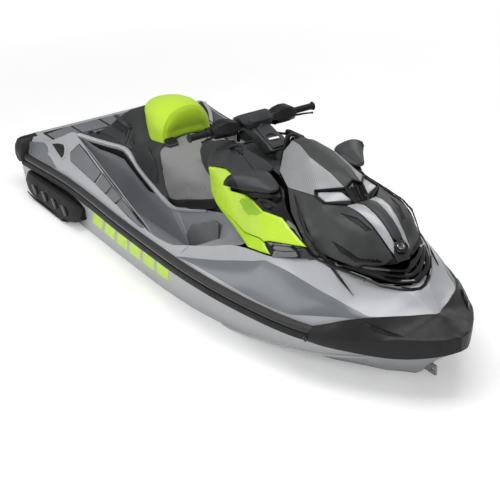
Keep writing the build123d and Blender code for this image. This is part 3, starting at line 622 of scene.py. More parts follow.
def tube(path, radius, sides=14, caps=True):
    """Round bar along points; radius may be one number or one for each point."""
    path = [np.array(p, float) for p in path]
    radii = radius if isinstance(radius, (list, tuple)) else [radius] * len(path)
    rows, previous = [], None
    for i, p in enumerate(path):
        ahead = path[min(i + 1, len(path) - 1)] - path[max(i - 1, 0)]
        ahead /= max(np.linalg.norm(ahead), 1e-9)
        if previous is None:
            helper = np.array([0, 0, 1.0]) if abs(ahead[2]) < 0.9 else np.array([1.0, 0, 0])
        else:
            helper = previous
        side = helper - ahead * (helper @ ahead)
        side /= np.linalg.norm(side)
        previous = side
        other = np.cross(ahead, side)
        rows.append([p + radii[i] * (math.cos(a) * side + math.sin(a) * other) for a in angles(sides)])
    return skin(rows, True, caps)


def turned(profile, origin, axis, sides=36):
    """Solid of revolution from (distance, radius) points about an axis."""
    origin, axis = np.array(origin, float), np.array(axis, float)
    axis /= np.linalg.norm(axis)
    path = [origin + axis * d for d, _ in profile]
    helper = np.array([0, 0, 1.0]) if abs(axis[2]) < 0.9 else np.array([1.0, 0, 0])
    side = np.cross(axis, helper)
    side /= np.linalg.norm(side)
    other = np.cross(axis, side)
    rows = [[p + r * (math.cos(a) * side + math.sin(a) * other) for a in angles(sides)]
        for p, (_, r) in zip(path, profile)]
    return skin(rows, True, True)


# ---------------------------------------- hood
HOOD_UP = (0.2, -0.25, 1)
rear_top, rear_side = (404, -30, 1107), (404, -84, 1060)
ridge_a, ridge_b = (484, -46, 1116), (600, -70, 1096)
ridge_c, ridge_end = (755, -60, 1062), (850, -50, 1020)
scoop_top, scoop_foot = (842, 0, 1046), (934, 0, 954)
flank_a, flank_b = (480, -163, 1001), (594, -197, 965)
shoulder_tip, step_corner = (771, -162, 977), (744, -148, 991)

hood_shape = Shape()
# dark panel on the centreline, silver shoulders with a woven print beside it
top = [rear_top, ridge_a, ridge_b, ridge_c, ridge_end, scoop_top]
top += [(x, -y, z) for x, y, z in reversed(top[:-1])]
hood_shape.plate(0, top, HOOD_UP, [(480, 0, 1126), (600, 0, 1110), (755, 0, 1075)], lift=2, edge=5)
half = Shape()
half.plate(1, [rear_top, ridge_a, ridge_b, ridge_c, ridge_end, step_corner, shoulder_tip, flank_b,
    flank_a, rear_side], (0, -0.6, 1), [(480, -105, 1068), (600, -135, 1038), (700, -120, 1028)],
    lift=1.5, edge=5)
# step between the upper and the lower hood: black frame, silver pane, dark scoop
half.plate(2, [scoop_top, ridge_end, step_corner, shoulder_tip, (838, -168, 966), (925, -46, 956),
    scoop_foot], (1, -0.2, 0.6), [(815, -130, 980)], lift=-7, edge=4)
half.plate(3, [(757, -141, 988), (846, -60, 1002), (900, -42, 972), (838, -156, 971), (776, -154, 979)],
    (1, -0.3, 0.8), lift=-1, edge=5, crown=2)
half.plate(4, [(850, -4, 1036), (858, -40, 1010), (884, -36, 982), (918, -4, 968)], (1, -0.4, 0.5),
    lift=-2, edge=4)
for bar in ([scoop_top, (852, -50, 1022), (905, -46, 974), (928, -34, 957)], [(852, -52, 1020),
        (744, -150, 992), (772, -165, 978), (838, -169, 968), (928, -42, 957)]):
    half.tube(2, divide(bar, 25.0, closed=False), 6.0, 8)
# lower hood: centre band, silver stripe, charcoal flank with a sunk slit and a dark pocket
band = [(934, 0, 966), (925, -32, 962), (975, -32, 974), (1015, -31, 972), (1060, -30, 959),
    (1109, -29, 936), (1150, -28, 908), (1184, -26, 880), (1200, 0, 860)]
half.plate(5, [(916, -88, 962), (928, -36, 964), (975, -34, 973), (1015, -33, 970), (1060, -32, 957),
    (1109, -31, 934), (1150, -30, 906), (1196, -30, 864), (1222, -48, 820), (1207, -54, 830),
    (1158, -64, 874), (1094, -74, 924), (1023, -85, 957), (970, -89, 966)], (0.3, -0.1, 1), lift=1.5,
    edge=4, crown=3)
edge_line = [(594, -199, 962), (721, -233, 922), (809, -264, 890), (902, -292, 852), (966, -286, 792),
    (1050, -252, 777), (1132, -213, 766), (1192, -95, 760)]
slit = [(943, -152, 952), (1027, -112, 948), (1106, -90, 908), (1096, -106, 900), (1022, -146, 936)]
blade = [(992, -236, 850), (1060, -214, 832), (1134, -188, 806), (1160, -150, 800), (1196, -90, 790),
    (1188, -104, 776), (1130, -200, 784), (1060, -234, 806)]
half.add(*painted(plate([flank_b, (771, -165, 974), (842, -171, 964), (916, -92, 962), (970, -93, 964),
    (1023, -89, 954), (1094, -78, 920), (1158, -68, 869), (1207, -58, 824), (1222, -52, 800),
    (1205, -78, 772)] + edge_line[:0:-1], (0.3, -0.8, 0.5), [(880, -190, 942), (950, -178, 942),
    (1050, -162, 921), (1120, -132, 886), (1000, -240, 842), (1080, -215, 822), (760, -200, 940),
    (860, -240, 893)], lift=1, edge=5, pockets=[(slit, 5.0), (blade, 5.0)]), [(slit, 2), (blade, 2)],
    (0.3, -0.8, 0.5), 0))
half.mirrored()
hood_shape.add(half.points, half.faces, half.paint)
hood_shape.plate(0, band + [(x, -y, z) for x, y, z in band[-2:0:-1]], (0.3, 0, 1), lift=4, edge=5,
    crown=3)
# chin below the badge, and the underside
hood_shape.plate(0, [(1194, -28, 864), (1222, -50, 818), (1240, -36, 780), (1240, 36, 780),
    (1222, 50, 818), (1194, 28, 864)], (1, 0, 0.6), [(1222, 0, 822)], lift=2, edge=6)
hood_lines = Lines({404: (82, 1058, 40, 1096), 480: (160, 998, 60, 1096), 594: (194, 960, 90, 1060),
    753: (246, 905, 148, 990), 840: (278, 872, 166, 960), 920: (292, 842, 175, 946),
    968: (282, 787, 174, 936), 1050: (247, 776, 158, 910), 1132: (208, 765, 128, 880),
    1190: (84, 759, 78, 838), 1236: (40, 772, 36, 792)})


def hood_base(x):
    edge_y, edge_z, crease_y, crease_z = hood_lines(x)
    half_outline = [(-edge_y + 20, edge_z + 4), (-edge_y + 6, edge_z), (-crease_y + 12, crease_z - 16),
        (-crease_y * 0.5, crease_z - 12)]
    return half_outline + [(-y, z) for y, z in reversed(half_outline)]


hood_shape.add(*loft(spread(404, 1236, 50), hood_base), 2)
hood_shape.build("hood_body", [hood_paint, hood_silver, black, silver, gloss_black, silver], "hood_paint",
    body="hood", replaces=["hood"])
badge = Shape()
badge_axis = (0.5, 0, 0.866)
badge.turned(0, [(-6, 38), (6, 38), (8, 36), (8, 31), (6, 29), (6, 0.1)], (1209, 0, 838), badge_axis)
badge.turned(1, [(6.2, 20), (9, 20), (10.5, 18), (10.5, 13), (9, 11), (6.2, 11)], (1209, 0, 838),
    badge_axis)
badge.build("hood_emblem", [gloss_black, steel], "gloss_black", body="hood", replaces=["hood_badge"])

# ---------------------------------------- deck
# station: hull joint, lower crease, upper crease and inner edge, each as an offset and a height
front_deck = Lines({190: (598, 502, 588, 534, 587, 538, 513, 577),
    330: (596, 502, 575, 545, 538, 568, 468, 618), 450: (588, 502, 566, 545, 498, 598, 424, 660),
    560: (572, 500, 554, 540, 461, 632, 412, 682), 650: (556, 495, 542, 536, 445, 662, 408, 696),
    738: (540, 489, 529, 532, 425, 693, 400, 709), 840: (515, 486, 508, 526, 405, 690, 348, 730),
    968: (480, 482, 475, 526, 375, 670, 292, 762), 1067: (449, 480, 425, 545, 350, 652, 262, 749),
    1139: (417, 481, 385, 560, 328, 640, 224, 737), 1205: (383, 483, 347, 573, 303, 622, 168, 718),
    1255: (357, 485, 320, 582, 283, 611, 148, 698), 1312: (322, 496, 277, 592, 264, 602, 100, 686),
    1356: (294, 504, 236, 598, 226, 606, 62, 676), 1420: (248, 520, 150, 602, 138, 607, 40, 642),
    1500: (184, 533, 60, 590, 50, 594, 10, 606), 1560: (120, 540, 20, 560, 14, 562, 6, 566)})
deck_shape = Shape()


def bent(a, b, count, sag):
    """Points between two section points, bowed inward by sag."""
    (ya, za), (yb, zb) = a, b
    run = math.hypot(yb - ya, zb - za) or 1.0
    out = []
    for k in range(count):
        t = k / (count - 1)
        s = 4 * t * (1 - t) * sag
        out.append((ya + (yb - ya) * t + s * (zb - za) / run * -1, za + (zb - za) * t
            + s * (yb - ya) / run))
    return out


FRONT_STEP, REAR_STEP, REAR_COUNT = 22.0, 30.0, 6


def front_strip(start, end, first, last, sag, finish, count=9):
    xs = spread(start, end, int((end - start) / FRONT_STEP) + 2)
    rows = []
    for x in xs:
        v = front_deck(x)
        a, b = (v[2 * first], v[2 * first + 1]), (v[2 * last], v[2 * last + 1])
        size = math.hypot(b[0] - a[0], b[1] - a[1])
        rows.append([(x, -y, z) for y, z in bent(a, b, count, -sag * min(1.0, size / 120))])
    deck_shape.skin(finish, rows)


front_strip(190, 1560, 0, 1, 2.0, 0, 6)
# accent band between the creases in the darker accent finish: partly paint, partly painted shade
front_strip(190, 1340, 1, 2, 9.0, 1)
front_strip(1340, 1560, 1, 2, 0.0, 0, 3)
front_strip(190, 1560, 2, 3, -4.0, 0)
rows = []
for x in spread(1290, 1560, 16):
    v = front_deck(x)
    crest = 7 * min(1.0, max(0.0, (1490 - x) / 120))
    rows.append([(x, -v[6] * t, v[7] + crest * (1 - t * t)) for t in spread(1.0, 0.0, 6)])
deck_shape.skin(0, rows)

# station: hull joint, band and ridge
rear_deck = Lines({-1640: (512, 432, 498, 492, 455, 548), -1500: (509, 438, 496, 520, 462, 565),
    -1400: (508, 442, 494, 534, 466, 588), -1250: (504, 448, 492, 556, 452, 664),
    -1100: (503, 453, 491, 568, 436, 734), -1000: (509, 456, 495, 567, 447, 713),
    -800: (522, 463, 511, 560, 478, 678), -400: (560, 478, 549, 545, 528, 602),
    -70: (584, 492, 576, 530, 565, 545), 80: (595, 497, 584, 532, 556, 552),
    190: (598, 502, 588, 534, 513, 577)})


def rear_strip(start, end, first, last, sag, finish):
    rows = []
    for x in spread(start, end, int((end - start) / REAR_STEP) + 2):
        v = rear_deck(x)
        rows.append([(x, -y, z) for y, z in bent((v[2 * first], v[2 * first + 1]),
            (v[2 * last], v[2 * last + 1]), REAR_COUNT, -sag)])
    deck_shape.skin(finish, rows)


STERN = -1640
rear_strip(STERN, 190, 0, 1, 2.0, 0)
rear_strip(STERN, 190, 1, 2, 1.0, 0)
# inner face of the gunwale beside the stern platform
rows = []
for x in spread(STERN, -1085, 20):
    v = rear_deck(x)
    rows.append([(x, -v[4], v[5]), (x, -v[4] + 12, v[5] + 1), (x, -v[4] + 30, max(v[5] - 26, 556)),
        (x, -402, 557)])
deck_shape.skin(0, rows)
# transom edge, and the platform itself
deck_shape.skin(0, [[(STERN, -512, 432), (STERN, -498, 492), (STERN, -455, 548), (STERN, -402, 557)],
    [(STERN, -512, 432), (STERN, -470, 440), (STERN, -440, 470), (STERN, -402, 500)]])

# footwell: ridge, outer wall foot, inner wall foot and the silver strip
well = Lines({-1072: (438, 724, 432, 700, 428, 700, 430, 738),
    -960: (448, 698, 425, 470, 388, 470, 390, 734), -880: (457, 688, 424, 358, 345, 358, 348, 727),
    -790: (468, 668, 430, 353, 296, 353, 298, 716), -671: (484, 648, 437, 349, 291, 349, 285, 638),
    -515: (504, 620, 452, 346, 287, 346, 281, 572), -430: (515, 601, 462, 344, 284, 344, 281, 541),
    -348: (525, 586, 474, 341, 281, 341, 281, 525), -212: (541, 562, 490, 338, 278, 338, 276, 560),
    -50: (563, 536, 512, 374, 278, 374, 258, 612), 30: (560, 541, 516, 404, 278, 404, 250, 632),
    120: (540, 556, 495, 502, 278, 502, 246, 654), 209: (508, 574, 470, 574, 300, 574, 246, 672),
    349: (456, 619, 430, 618, 330, 618, 256, 700), 485: (408, 668, 400, 668, 380, 669, 290, 712)})
rows = []
for x in spread(-1072, 485, 60):
    v = well(x)
    edge, foot, inner, strip = pairs(v)[:4]
    line = soften([(edge[0] + 2, edge[1] + 3), (edge[0] - 8, edge[1] + 1), foot, inner, strip],
        [1, 3, 26, 26, 1])
    rows.append([(x, -y, z) for y, z in line])
deck_shape.skin(2, rows)
# silver strip along the pedestal, from the peak to the saddle
strip = [(x, -well(x)[6] - 1, well(x)[7] + 1) for x in spread(-1072, -30, 40)]
rows = []
for x, y, z in strip:
    wide = 1.0 if x < -390 else 0.8
    rows.append([(x, y - 4, z - 18 * wide), (x, y - 6, z - 4), (x, y - 3, z + 3), (x, y + 8, z + 4),
        (x, y + 18, z + 2)])
deck_shape.skin(0, rows)
# dark inlay, light rib and toe mat on the pedestal's wall
deck_shape.plate(3, [(x, -well(x)[6] - 3, well(x)[7] - 22)
    for x in (-1010, -930, -860, -800, -700, -600, -500)] + [(-560, -287, 540), (-700, -294, 600),
    (-790, -302, 652), (-850, -333, 670), (-930, -376, 682)], (0, -1, 0.2), lift=1.5, edge=2)
deck_shape.plate(0, [(-352, -281, 514), (-268, -281, 437), (-176, -279, 350), (-150, -279, 350),
    (-190, -279, 419), (-229, -279, 465), (-262, -279, 520), (-300, -280, 524)], (0, -1, 0), lift=2.5,
    edge=3)
deck_shape.plate(4, [(-176, -279, 372), (-196, -279, 425), (-172, -279, 451), (-150, -279, 490),
    (-132, -279, 508), (-90, -279, 520), (-50, -270, 545), (-10, -270, 560), (40, -270, 595),
    (110, -279, 600), (110, -279, 520), (20, -279, 412), (-60, -279, 372), (-150, -279, 345)], (0, -1, 0),
    lift=4, edge=6, crown=2)
# gunwale pads with black rims
PAD_SPANS = [(-1088, -735, 0.14, 0.90), (-712, -592, 0.14, 0.90), (-574, -468, 0.14, 0.90),
    (-450, -168, 0.14, 0.88)]


def on_gunwale(x, share):
    v = rear_deck(x)
    return (x, -(v[2] + (v[4] - v[2]) * share), v[3] + (v[5] - v[3]) * share)


for number, (back, front, low, top) in enumerate(PAD_SPANS):
    slant = 26
    if number == 0:
        corners = [on_gunwale(-1066, 0.12), on_gunwale(-1090, 0.36), on_gunwale(-1020, 0.86)]
        corners += [on_gunwale(x, 0.88) for x in (-920, -800, front + slant)]
        corners += [on_gunwale(x, low) for x in (front - slant, -820, -940)]
    elif number == 3:
        corners = [on_gunwale(back - slant, low), on_gunwale(back + slant, top), on_gunwale(-300, 0.86),
            on_gunwale(front, 0.8), on_gunwale(-210, 0.2), on_gunwale(-330, 0.14)]
    else:
        corners = [on_gunwale(back - slant, low), on_gunwale(back + slant, top),
            on_gunwale(front + slant, top), on_gunwale(front - slant, low)]
    middle = np.mean(corners, axis=0)
    larger = [tuple(middle + (np.array(c) - middle) * (1 + 7 / np.linalg.norm(np.array(c) - middle)))
        for c in corners]
    deck_shape.plate(3, larger, (0, -1, 0.4), lift=3.4, edge=1.5, drop=1.0)
    deck_shape.plate(4, corners, (0, -1, 0.4), lift=6.5, edge=3)
# sunk panel, air outlet and seam on the stern quarter
deck_shape.plate(1, [(-1612, -505, 470), (-1585, -484, 532), (-1420, -474, 578), (-1362, -478, 572),
    (-1225, -500, 490), (-1300, -503, 478), (-1450, -504, 478)], (0, -1, 0.4), lift=7, edge=4, drop=4,
    depth=8)
deck_shape.plate(0, [(-1322, -470, 612), (-1246, -460, 640), (-1178, -458, 655), (-1146, -468, 640),
    (-1133, -484, 590), (-1160, -490, 560), (-1220, -484, 575)], (0, -1, 0.5), lift=7.0, edge=4, drop=4,
    depth=8)
deck_shape.plate(3, [(-1305, -471, 608), (-1244, -464, 630), (-1184, -462, 642), (-1158, -470, 630),
    (-1150, -484, 592), (-1168, -487, 572), (-1220, -482, 585)], (0, -1, 0.5), lift=10.0, edge=3, depth=8)
# inner side of the stern quarter, and the platform
PLATFORM, PLATFORM_HALF, TRANSOM_FOOT = 554, 392, 384
rows = []
for x in spread(STERN, -1080, 24):
    v = rear_deck(x)
    rows.append([(x, -v[4], v[5]), (x, -v[4] + 8, v[5] + 2), (x, -min(v[4] - 16, 440), v[5] - 4),
        (x, -398, 562 if x > -1600 else 556), (x, -PLATFORM_HALF, PLATFORM), (x, 0, PLATFORM)])
deck_shape.skin(0, rows)
v = rear_deck(STERN)
deck_shape.skin(0, [[(STERN, -v[0] + 2, v[1] - 4), (STERN, -v[2] + 2, v[3]), (STERN, -v[4], v[5]),
    (STERN, -PLATFORM_HALF, PLATFORM), (STERN, 0, PLATFORM)], [(STERN, -v[0] + 2, TRANSOM_FOOT),
    (STERN, -v[2] + 2, TRANSOM_FOOT), (STERN, -v[4], TRANSOM_FOOT), (STERN, -PLATFORM_HALF, TRANSOM_FOOT),
    (STERN, 0, TRANSOM_FOOT)]])
# blade-shaped shadow line behind the surround
deck_shape.plate(3, [(968, -297, 757), (1042, -282, 744), (1120, -279, 705), (1196, -262, 658),
    (1112, -268, 716), (1050, -271, 748)], (0.5, -0.7, 0.6), lift=3, edge=2)
deck_shape.mirrored()
deck_shape.build("deck_moulding", [silver, accent_and_painted_shade, pedestal_grey, black, mat_grey, gloss_black],
    "deck_paint", replaces=["deck", "gunwale_pads", "footwell_mats"], sharp=24)

# ---------------------------------------- hull sides, rails, bumper and stern caps
# station: chine offset and height, joint offset and height
hull_lines = Lines({-1640: (470, 200, 512, 432), -1100: (480, 195, 503, 453), -800: (490, 190, 522, 463),
    -400: (500, 185, 560, 478), -70: (505, 185, 584, 492), 190: (500, 200, 599.5, 502),
    470: (480, 235, 588, 502), 760: (450, 280, 536, 488), 1040: (390, 330, 462, 480),
    1260: (270, 370, 356, 485), 1400: (140, 410, 262, 515), 1500: (60, 440, 184, 535),
    1599: (15, 470, 82, 550)})
hull_shape = Shape()
hull_rows, spray_rows = [], []
for x in spread(-1639, 1596, 130):
    chine_y, chine_z, joint_y, joint_z = hull_lines(x)
    low, high = (chine_y + 2.5, chine_z + 1), (joint_y + 2, joint_z - 8)
    hull_rows.append([(x, -y, z) for y, z in bent(low, high, 8, -min(12.0, chine_y * 0.08))])
    spray_rows.append([(x, -chine_y - 2.5, chine_z + 1), (x, -chine_y - 9, chine_z - 4),
        (x, -chine_y - 9, chine_z - 10), (x, -chine_y + 6, chine_z - 9)])
hull_shape.skin(0, hull_rows)
hull_shape.skin(0, spray_rows)


def on_side(x, share):
    """Point on the topside between chine and joint."""
    chine_y, chine_z, joint_y, joint_z = hull_lines(x)
    (y, z), = [bent((chine_y + 2.5, chine_z + 1), (joint_y + 2, joint_z - 8), 101,
        -min(12.0, chine_y * 0.08)) [int(round(share * 100))]]
    return (x, -y, z)


# slanted bars in place of lettering
for number in range(6):
    x, size = -790 + number * 148, 118
    corners = [on_side(x, 0.50), on_side(x + 44, 0.82), on_side(x + 44 + size, 0.82),
        on_side(x + size, 0.50)]
    hull_shape.plate(1, corners, (0, -1, 0), [on_side(x + 22 + size * share, 0.66)
        for share in (0, 0.5, 1)], lift=2.2, edge=1.0, drop=0.6, step=20)
hull_shape.mirrored()
hull_shape.build("hull_topsides", [hull_silver, green], "hull_paint", sharp=28)

rail_shape = Shape()
rail_section = [(-8, 31), (14, 31), (21, 27), (25, 20), (26, 9), (25, 3), (20, 1), (20, -4), (25, -6),
    (28, -12), (28, -34), (24, -42), (14, -46), (-8, -46)]
rows = []
for x in spread(-1592, 1150, 110):
    joint_y, joint_z = hull_lines(x)[2:]
    rows.append([(x, -min(joint_y + out, 627.3), joint_z + up) for out, up in rail_section])
points, faces = skin(rows)
parts = [face[0] % len(rail_section) for face in faces]
rail_shape.add(points, faces, [0 if part < 4 else 1 if part < 8 else 2 for part in parts])
rail_shape.mirrored()
rail_shape.build("rub_rails", [rail_grey, gloss_black, rubber], "bumper_rubber", replaces=["side_rails"],
    sharp=38)

# station: bumper's foot, ridge and top edge, each as an offset and a height
bumper_lines = Lines({1120: (452, 436, 474, 462, 440, 520), 1180: (428, 436, 440, 478, 394, 546),
    1240: (397, 437, 404, 489, 352, 576), 1285: (368, 437, 378, 497, 312, 592),
    1329: (340, 437, 347, 506, 268, 604), 1420: (274, 437, 284, 529, 140, 613),
    1500: (206, 443, 217, 546, 7, 612), 1560: (148, 455, 160, 552, 6, 590),
    1610: (92, 470, 100, 557, 6, 574), 1640: (50, 482, 56, 560, 5, 567), 1657: (0, 491, 0, 560, 0, 562)})
bumper_shape = Shape()
upper, lower = [], []
for x in spread(1120, 1657, 60):
    foot_y, foot_z, ridge_y, ridge_z, top_y, top_z = bumper_lines(x)
    inner_y = max(top_y - 26, 0)
    inner_z = top_z - (8 if top_y > 26 else 0)
    side = 0.0 if x > 1656 else -1.0
    upper.append([(x, side * y, z) for y, z in [(ridge_y, ridge_z)] + bent((max(ridge_y - 2, 0), ridge_z
        + 3), (top_y, top_z), 6, -4) + [(inner_y, inner_z)]])
    lower.append([(x, side * y, z) for y, z in [(max(foot_y - 20, 0), foot_z + 4)]
        + bent((foot_y, foot_z), (ridge_y, ridge_z), 6, -3)])
bumper_shape.skin(0, upper)
bumper_shape.skin(0, lower)
bumper_shape.plate(1, [(1300, -302, 585), (1345, -282, 584), (1420, -246, 573), (1492, -196, 556),
    (1440, -242, 553), (1370, -278, 566)], (0.4, -0.7, 0.6), lift=2.2, edge=2)
bumper_shape.turned(1, [(-2, 13), (1.5, 13), (1.5, 8), (-3, 8), (-3, 0.1)], (1116, -478, 460),
    (0.1, -1, 0))
bumper_shape.mirrored()
bumper_shape.build("bow_bumper_moulding", [bumper_grey, gloss_black], "bumper_plastic",
    replaces=["bow_bumper"], sharp=24)

cap_shape = Shape()
outline = [(-1656, 436), (-1659, 470), (-1652, 520), (-1618, 566), (-1580, 560), (-1552, 506),
    (-1556, 470), (-1566, 412), (-1620, 398)]
middle = np.mean(outline, axis=0)
rows = []
for y, shrink in ((-430, 0.0), (-470, 0.0), (-520, 1.0), (-543, 6.0), (-552, 16.0)):
    drawn_in = shrink / 60
    rows.append([(x + (middle[0] - x) * drawn_in, y, z + (middle[1] - z) * drawn_in)
        for x, z in soften(outline, 12, closed=True, steps=2)])
cap_shape.skin(0, rows, True, True)
cap_shape.turned(1, [(-2, 11), (2, 11), (2, 6), (-2, 6), (-2, 0.1)], (-1600, -552, 462), (0, -1, 0))
cap_shape.mirrored()
cap_shape.build("stern_corner_caps", [bumper_grey, gloss_black], "bumper_plastic",
    replaces=["stern_caps"], sharp=35)

# ---------------------------------------- sponsons
sponson_lines = Lines({-1530: (306, 374, 552), -1490: (268, 384, 560), -1400: (250, 388, 566),
    -1060: (238, 392, 568), -950: (264, 388, 566), -870: (306, 372, 556)})
sponson_shape = Shape()
rows = []
for x in spread(-1530, -870, 34):
    low, high, out = sponson_lines(x)
    rows.append([(x, -y, z) for y, z in ((462, low + 4), (out - 22, low), (out - 4, low + 8),
        (out, low + 22), (out - 5, high - 40), (out - 14, high - 10), (out - 26, high), (462, high + 8))])
sponson_shape.skin(0, rows, True, True)
for number in range(4):
    x = -1440 + number * 118
    sponson_shape.plate(1, [(x, -563, 330), (x + 34, -563, 338), (x + 76, -566, 292),
        (x + 52, -566, 274)], (0, -1, 0.1), lift=2.5, edge=3)
    sponson_shape.plate(0, [(x + 40, -564, 336), (x + 62, -564, 336), (x + 92, -566, 300),
        (x + 80, -566, 288)], (0, -1, 0.1), lift=7, edge=3)
sponson_shape.plate(0, [(-1500, -560, 262), (-1455, -566, 262), (-1080, -569, 246), (-985, -568, 258),
    (-1060, -566, 236), (-1400, -564, 242)], (0, -1, -0.1), lift=5, edge=3)
sponson_shape.mirrored()
sponson_shape.build("sponson_fins", [black, gloss_black], "bumper_plastic", replaces=["sponsons"],
    sharp=30)

# ---------------------------------------- fairing round the hood
fairing_lines = Lines({400: (247, 650, 215, 900, 160, 996), 480: (262, 660, 228, 890, 170, 992),
    590: (288, 680, 240, 880, 186, 956), 753: (308, 710, 262, 866, 232, 896),
    840: (316, 720, 290, 852, 262, 866), 920: (318, 725, 302, 826, 280, 838),
    968: (294, 730, 288, 772, 276, 790), 1050: (267, 715, 252, 752, 240, 766),
    1132: (238, 700, 206, 746, 190, 750), 1190: (196, 672, 158, 732, 84, 740),
    1240: (166, 650, 146, 708, 42, 730), 1300: (112, 636, 104, 684, 30, 708),
    1345: (56, 630, 48, 668, 4, 682)})
surround = Shape()
rows = []
for x in spread(400, 1345, 60):
    v = fairing_lines(x)
    half = [(v[0], v[1]), (v[0], v[1] + 0.6 * (v[3] - v[1])), (v[2], v[3]), (v[4], v[5] - 6),
        (min(v[4] - 3, 150), v[5] - 7)]
    rows.append([(x, -y, z) for y, z in half] + [(x, 0, v[5] - 8)]
        + [(x, y, z) for y, z in reversed(half)])
points, faces = skin(rows)
columns, middle = len(rows[0]), len(rows[0]) // 2
BIN_START, BIN_END, BIN_FLOOR = 520, 1010, 440
over_bin = [BIN_START < points[f[0]][0] < BIN_END and f[0] % columns in (middle - 1, middle)
    for f in faces]
surround.add(points, [f for f, open_ in zip(faces, over_bin) if not open_], 0)
rim = [row[middle - 1] for row in rows if BIN_START < row[0][0]][:sum(over_bin) // 2 + 1]
walls = [[(x, -150, z), (x, -148, BIN_FLOOR), (x, 148, BIN_FLOOR), (x, 150, z)] for x, _, z in rim]
points, faces = skin(walls)
end = len(points) - 4
surround.add(points, faces + [(0, 1, 2, 3), (end + 3, end + 2, end + 1, end)], 2)
side = Shape()
# charcoal blades between the hood and the side panel
side.plate(1, [(592, -196, 968), (640, -197, 962), (712, -234, 928), (800, -270, 892), (850, -285, 872),
    (930, -299, 822), (975, -293, 775), (950, -309, 786), (905, -313, 822), (844, -309, 858),
    (715, -266, 900)], (0.2, -0.9, 0.5), lift=5, edge=4)
side.plate(2, [(655, -204, 962), (706, -224, 936), (798, -262, 902), (870, -290, 872), (943, -297, 829),
    (1035, -268, 768), (1000, -286, 772), (930, -308, 836), (870, -304, 860), (764, -262, 906)],
    (0.2, -0.9, 0.5), lift=10, edge=4)
side.plate(0, [(440, -222, 972), (560, -218, 964), (620, -244, 940), (700, -280, 905), (800, -306, 868),
    (880, -318, 822), (690, -318, 866), (556, -312, 862), (470, -298, 880)], (0, -0.9, 0.4), lift=2,
    edge=4)
# raised lip along the outer edge and blades under the nose
lip = [(962, -302, 766), (1010, -284, 757), (1067, -266, 750), (1144, -232, 742), (1210, -190, 726),
    (1260, -150, 704), (1312, -94, 694), (1345, -40, 684), (1356, 0, 680)]
side.tube(0, divide(lip, 22.0, closed=False), 9.0, 10)
for rail, width in (([(1057, -256, 762), (1149, -206, 754), (1242, -150, 738), (1300, -84, 716),
        (1318, 0, 704)], 12), ([(1090, -236, 764), (1160, -190, 758), (1236, -120, 742), (1282, -50, 727),
        (1292, 0, 722)], 11), ([(1120, -210, 766), (1172, -164, 762), (1226, -90, 750), (1258, -30, 741),
        (1264, 0, 739)], 9)):
    path = divide(soften(rail, 40), 18.0, closed=False)
    profile = [(-width, 0), (-width * 0.5, 7), (width * 0.7, 9), (width, 2)]
    blade = []
    for i, p in enumerate(path):
        ahead = path[min(i + 1, len(path) - 1)] - path[max(i - 1, 0)]
        if i == len(path) - 1:
            ahead = np.array([0.0, 1.0, 0.0])
        across = np.array([ahead[1], -ahead[0], 0.0])
        across /= max(np.linalg.norm(across), 1e-6)
        taper = min(1.0, 0.25 + i * 0.2)
        blade.append([p + across * a * taper * -1 + np.array([0, 0, b * taper]) for a, b in profile])
    side.skin(0, blade, True, False)
side.mirrored()
surround.add(side.points, side.faces, side.paint)
surround.build("hood_surround", [gloss_black, rail_grey, black], "gloss_black",
    replaces=["front_fairing"])

# ---------------------------------------- green side panels
OUT = (0, -1, 0.15)
upper_outline = [(16, -270, 890), (95, -272, 912), (175, -273, 931), (275, -287, 922), (204, -287, 880),
    (242, -296, 841), (388, -306, 876), (480, -311, 875), (557, -319, 858), (630, -316, 868),
    (703, -312, 876), (904, -321, 806), (669, -363, 754), (637, -369, 740), (588, -358, 736),
    (443, -345, 706), (292, -319, 717), (244, -310, 712), (114, -285, 722), (9, -250, 744),
    (11, -256, 818)]
recess = [(350, -312, 828), (372, -310, 852), (424, -307, 876), (470, -312, 866), (565, -321, 850),
    (520, -326, 822), (451, -326, 799), (390, -320, 808)]
panel = Shape()
panel.plate(0, upper_outline, OUT, pockets=[(recess, 7.0)], step=12, lift=6, edge=7, drop=5, depth=8)
# the recess floor in darker green: painted shade
panel.plate(1, recess, OUT, step=10, lift=1.4, edge=1, drop=0.4, depth=0.6)
# lower facets in the darker green: painted shade below the crease
panel.plate(2, [(244, -312, 710), (292, -321, 715), (443, -347, 704), (588, -361, 734), (637, -371, 738),
    (728, -388, 708), (640, -396, 694), (548, -401, 683), (460, -370, 683), (386, -344, 678)],
    (0, -1, 0.3), [(430, -352, 694), (560, -380, 706)], step=12, lift=5, edge=6, drop=4, depth=7)
panel.plate(2, [(9, -252, 742), (114, -287, 720), (244, -312, 710), (386, -344, 678), (330, -330, 690),
    (160, -294, 704), (60, -262, 716)], (0, -1, 0.2), step=12, lift=4, edge=5, drop=4, depth=7)
build_pair(panel, "side_cover_", [green, recess_green_painted_shade, lower_green_painted_shade], "green_plastic", "side_panel_")

# black blade under the green panel
wedge = Shape()
wedge.plate(0, [(649, -374, 726), (663, -368, 750), (780, -345, 778), (900, -324, 806), (968, -306, 766),
    (860, -352, 738), (748, -398, 708)], (0.1, -1, 0.4), [(720, -368, 748), (850, -334, 778)], step=12,
    lift=4, edge=5, depth=10, pockets=[([(700, -366, 748), (790, -350, 774), (890, -328, 796),
    (900, -326, 782), (800, -362, 748), (740, -380, 734)], 4.0)])
build_pair(wedge, "side_blade_", [gloss_black], "gloss_black", "side_wedge_")

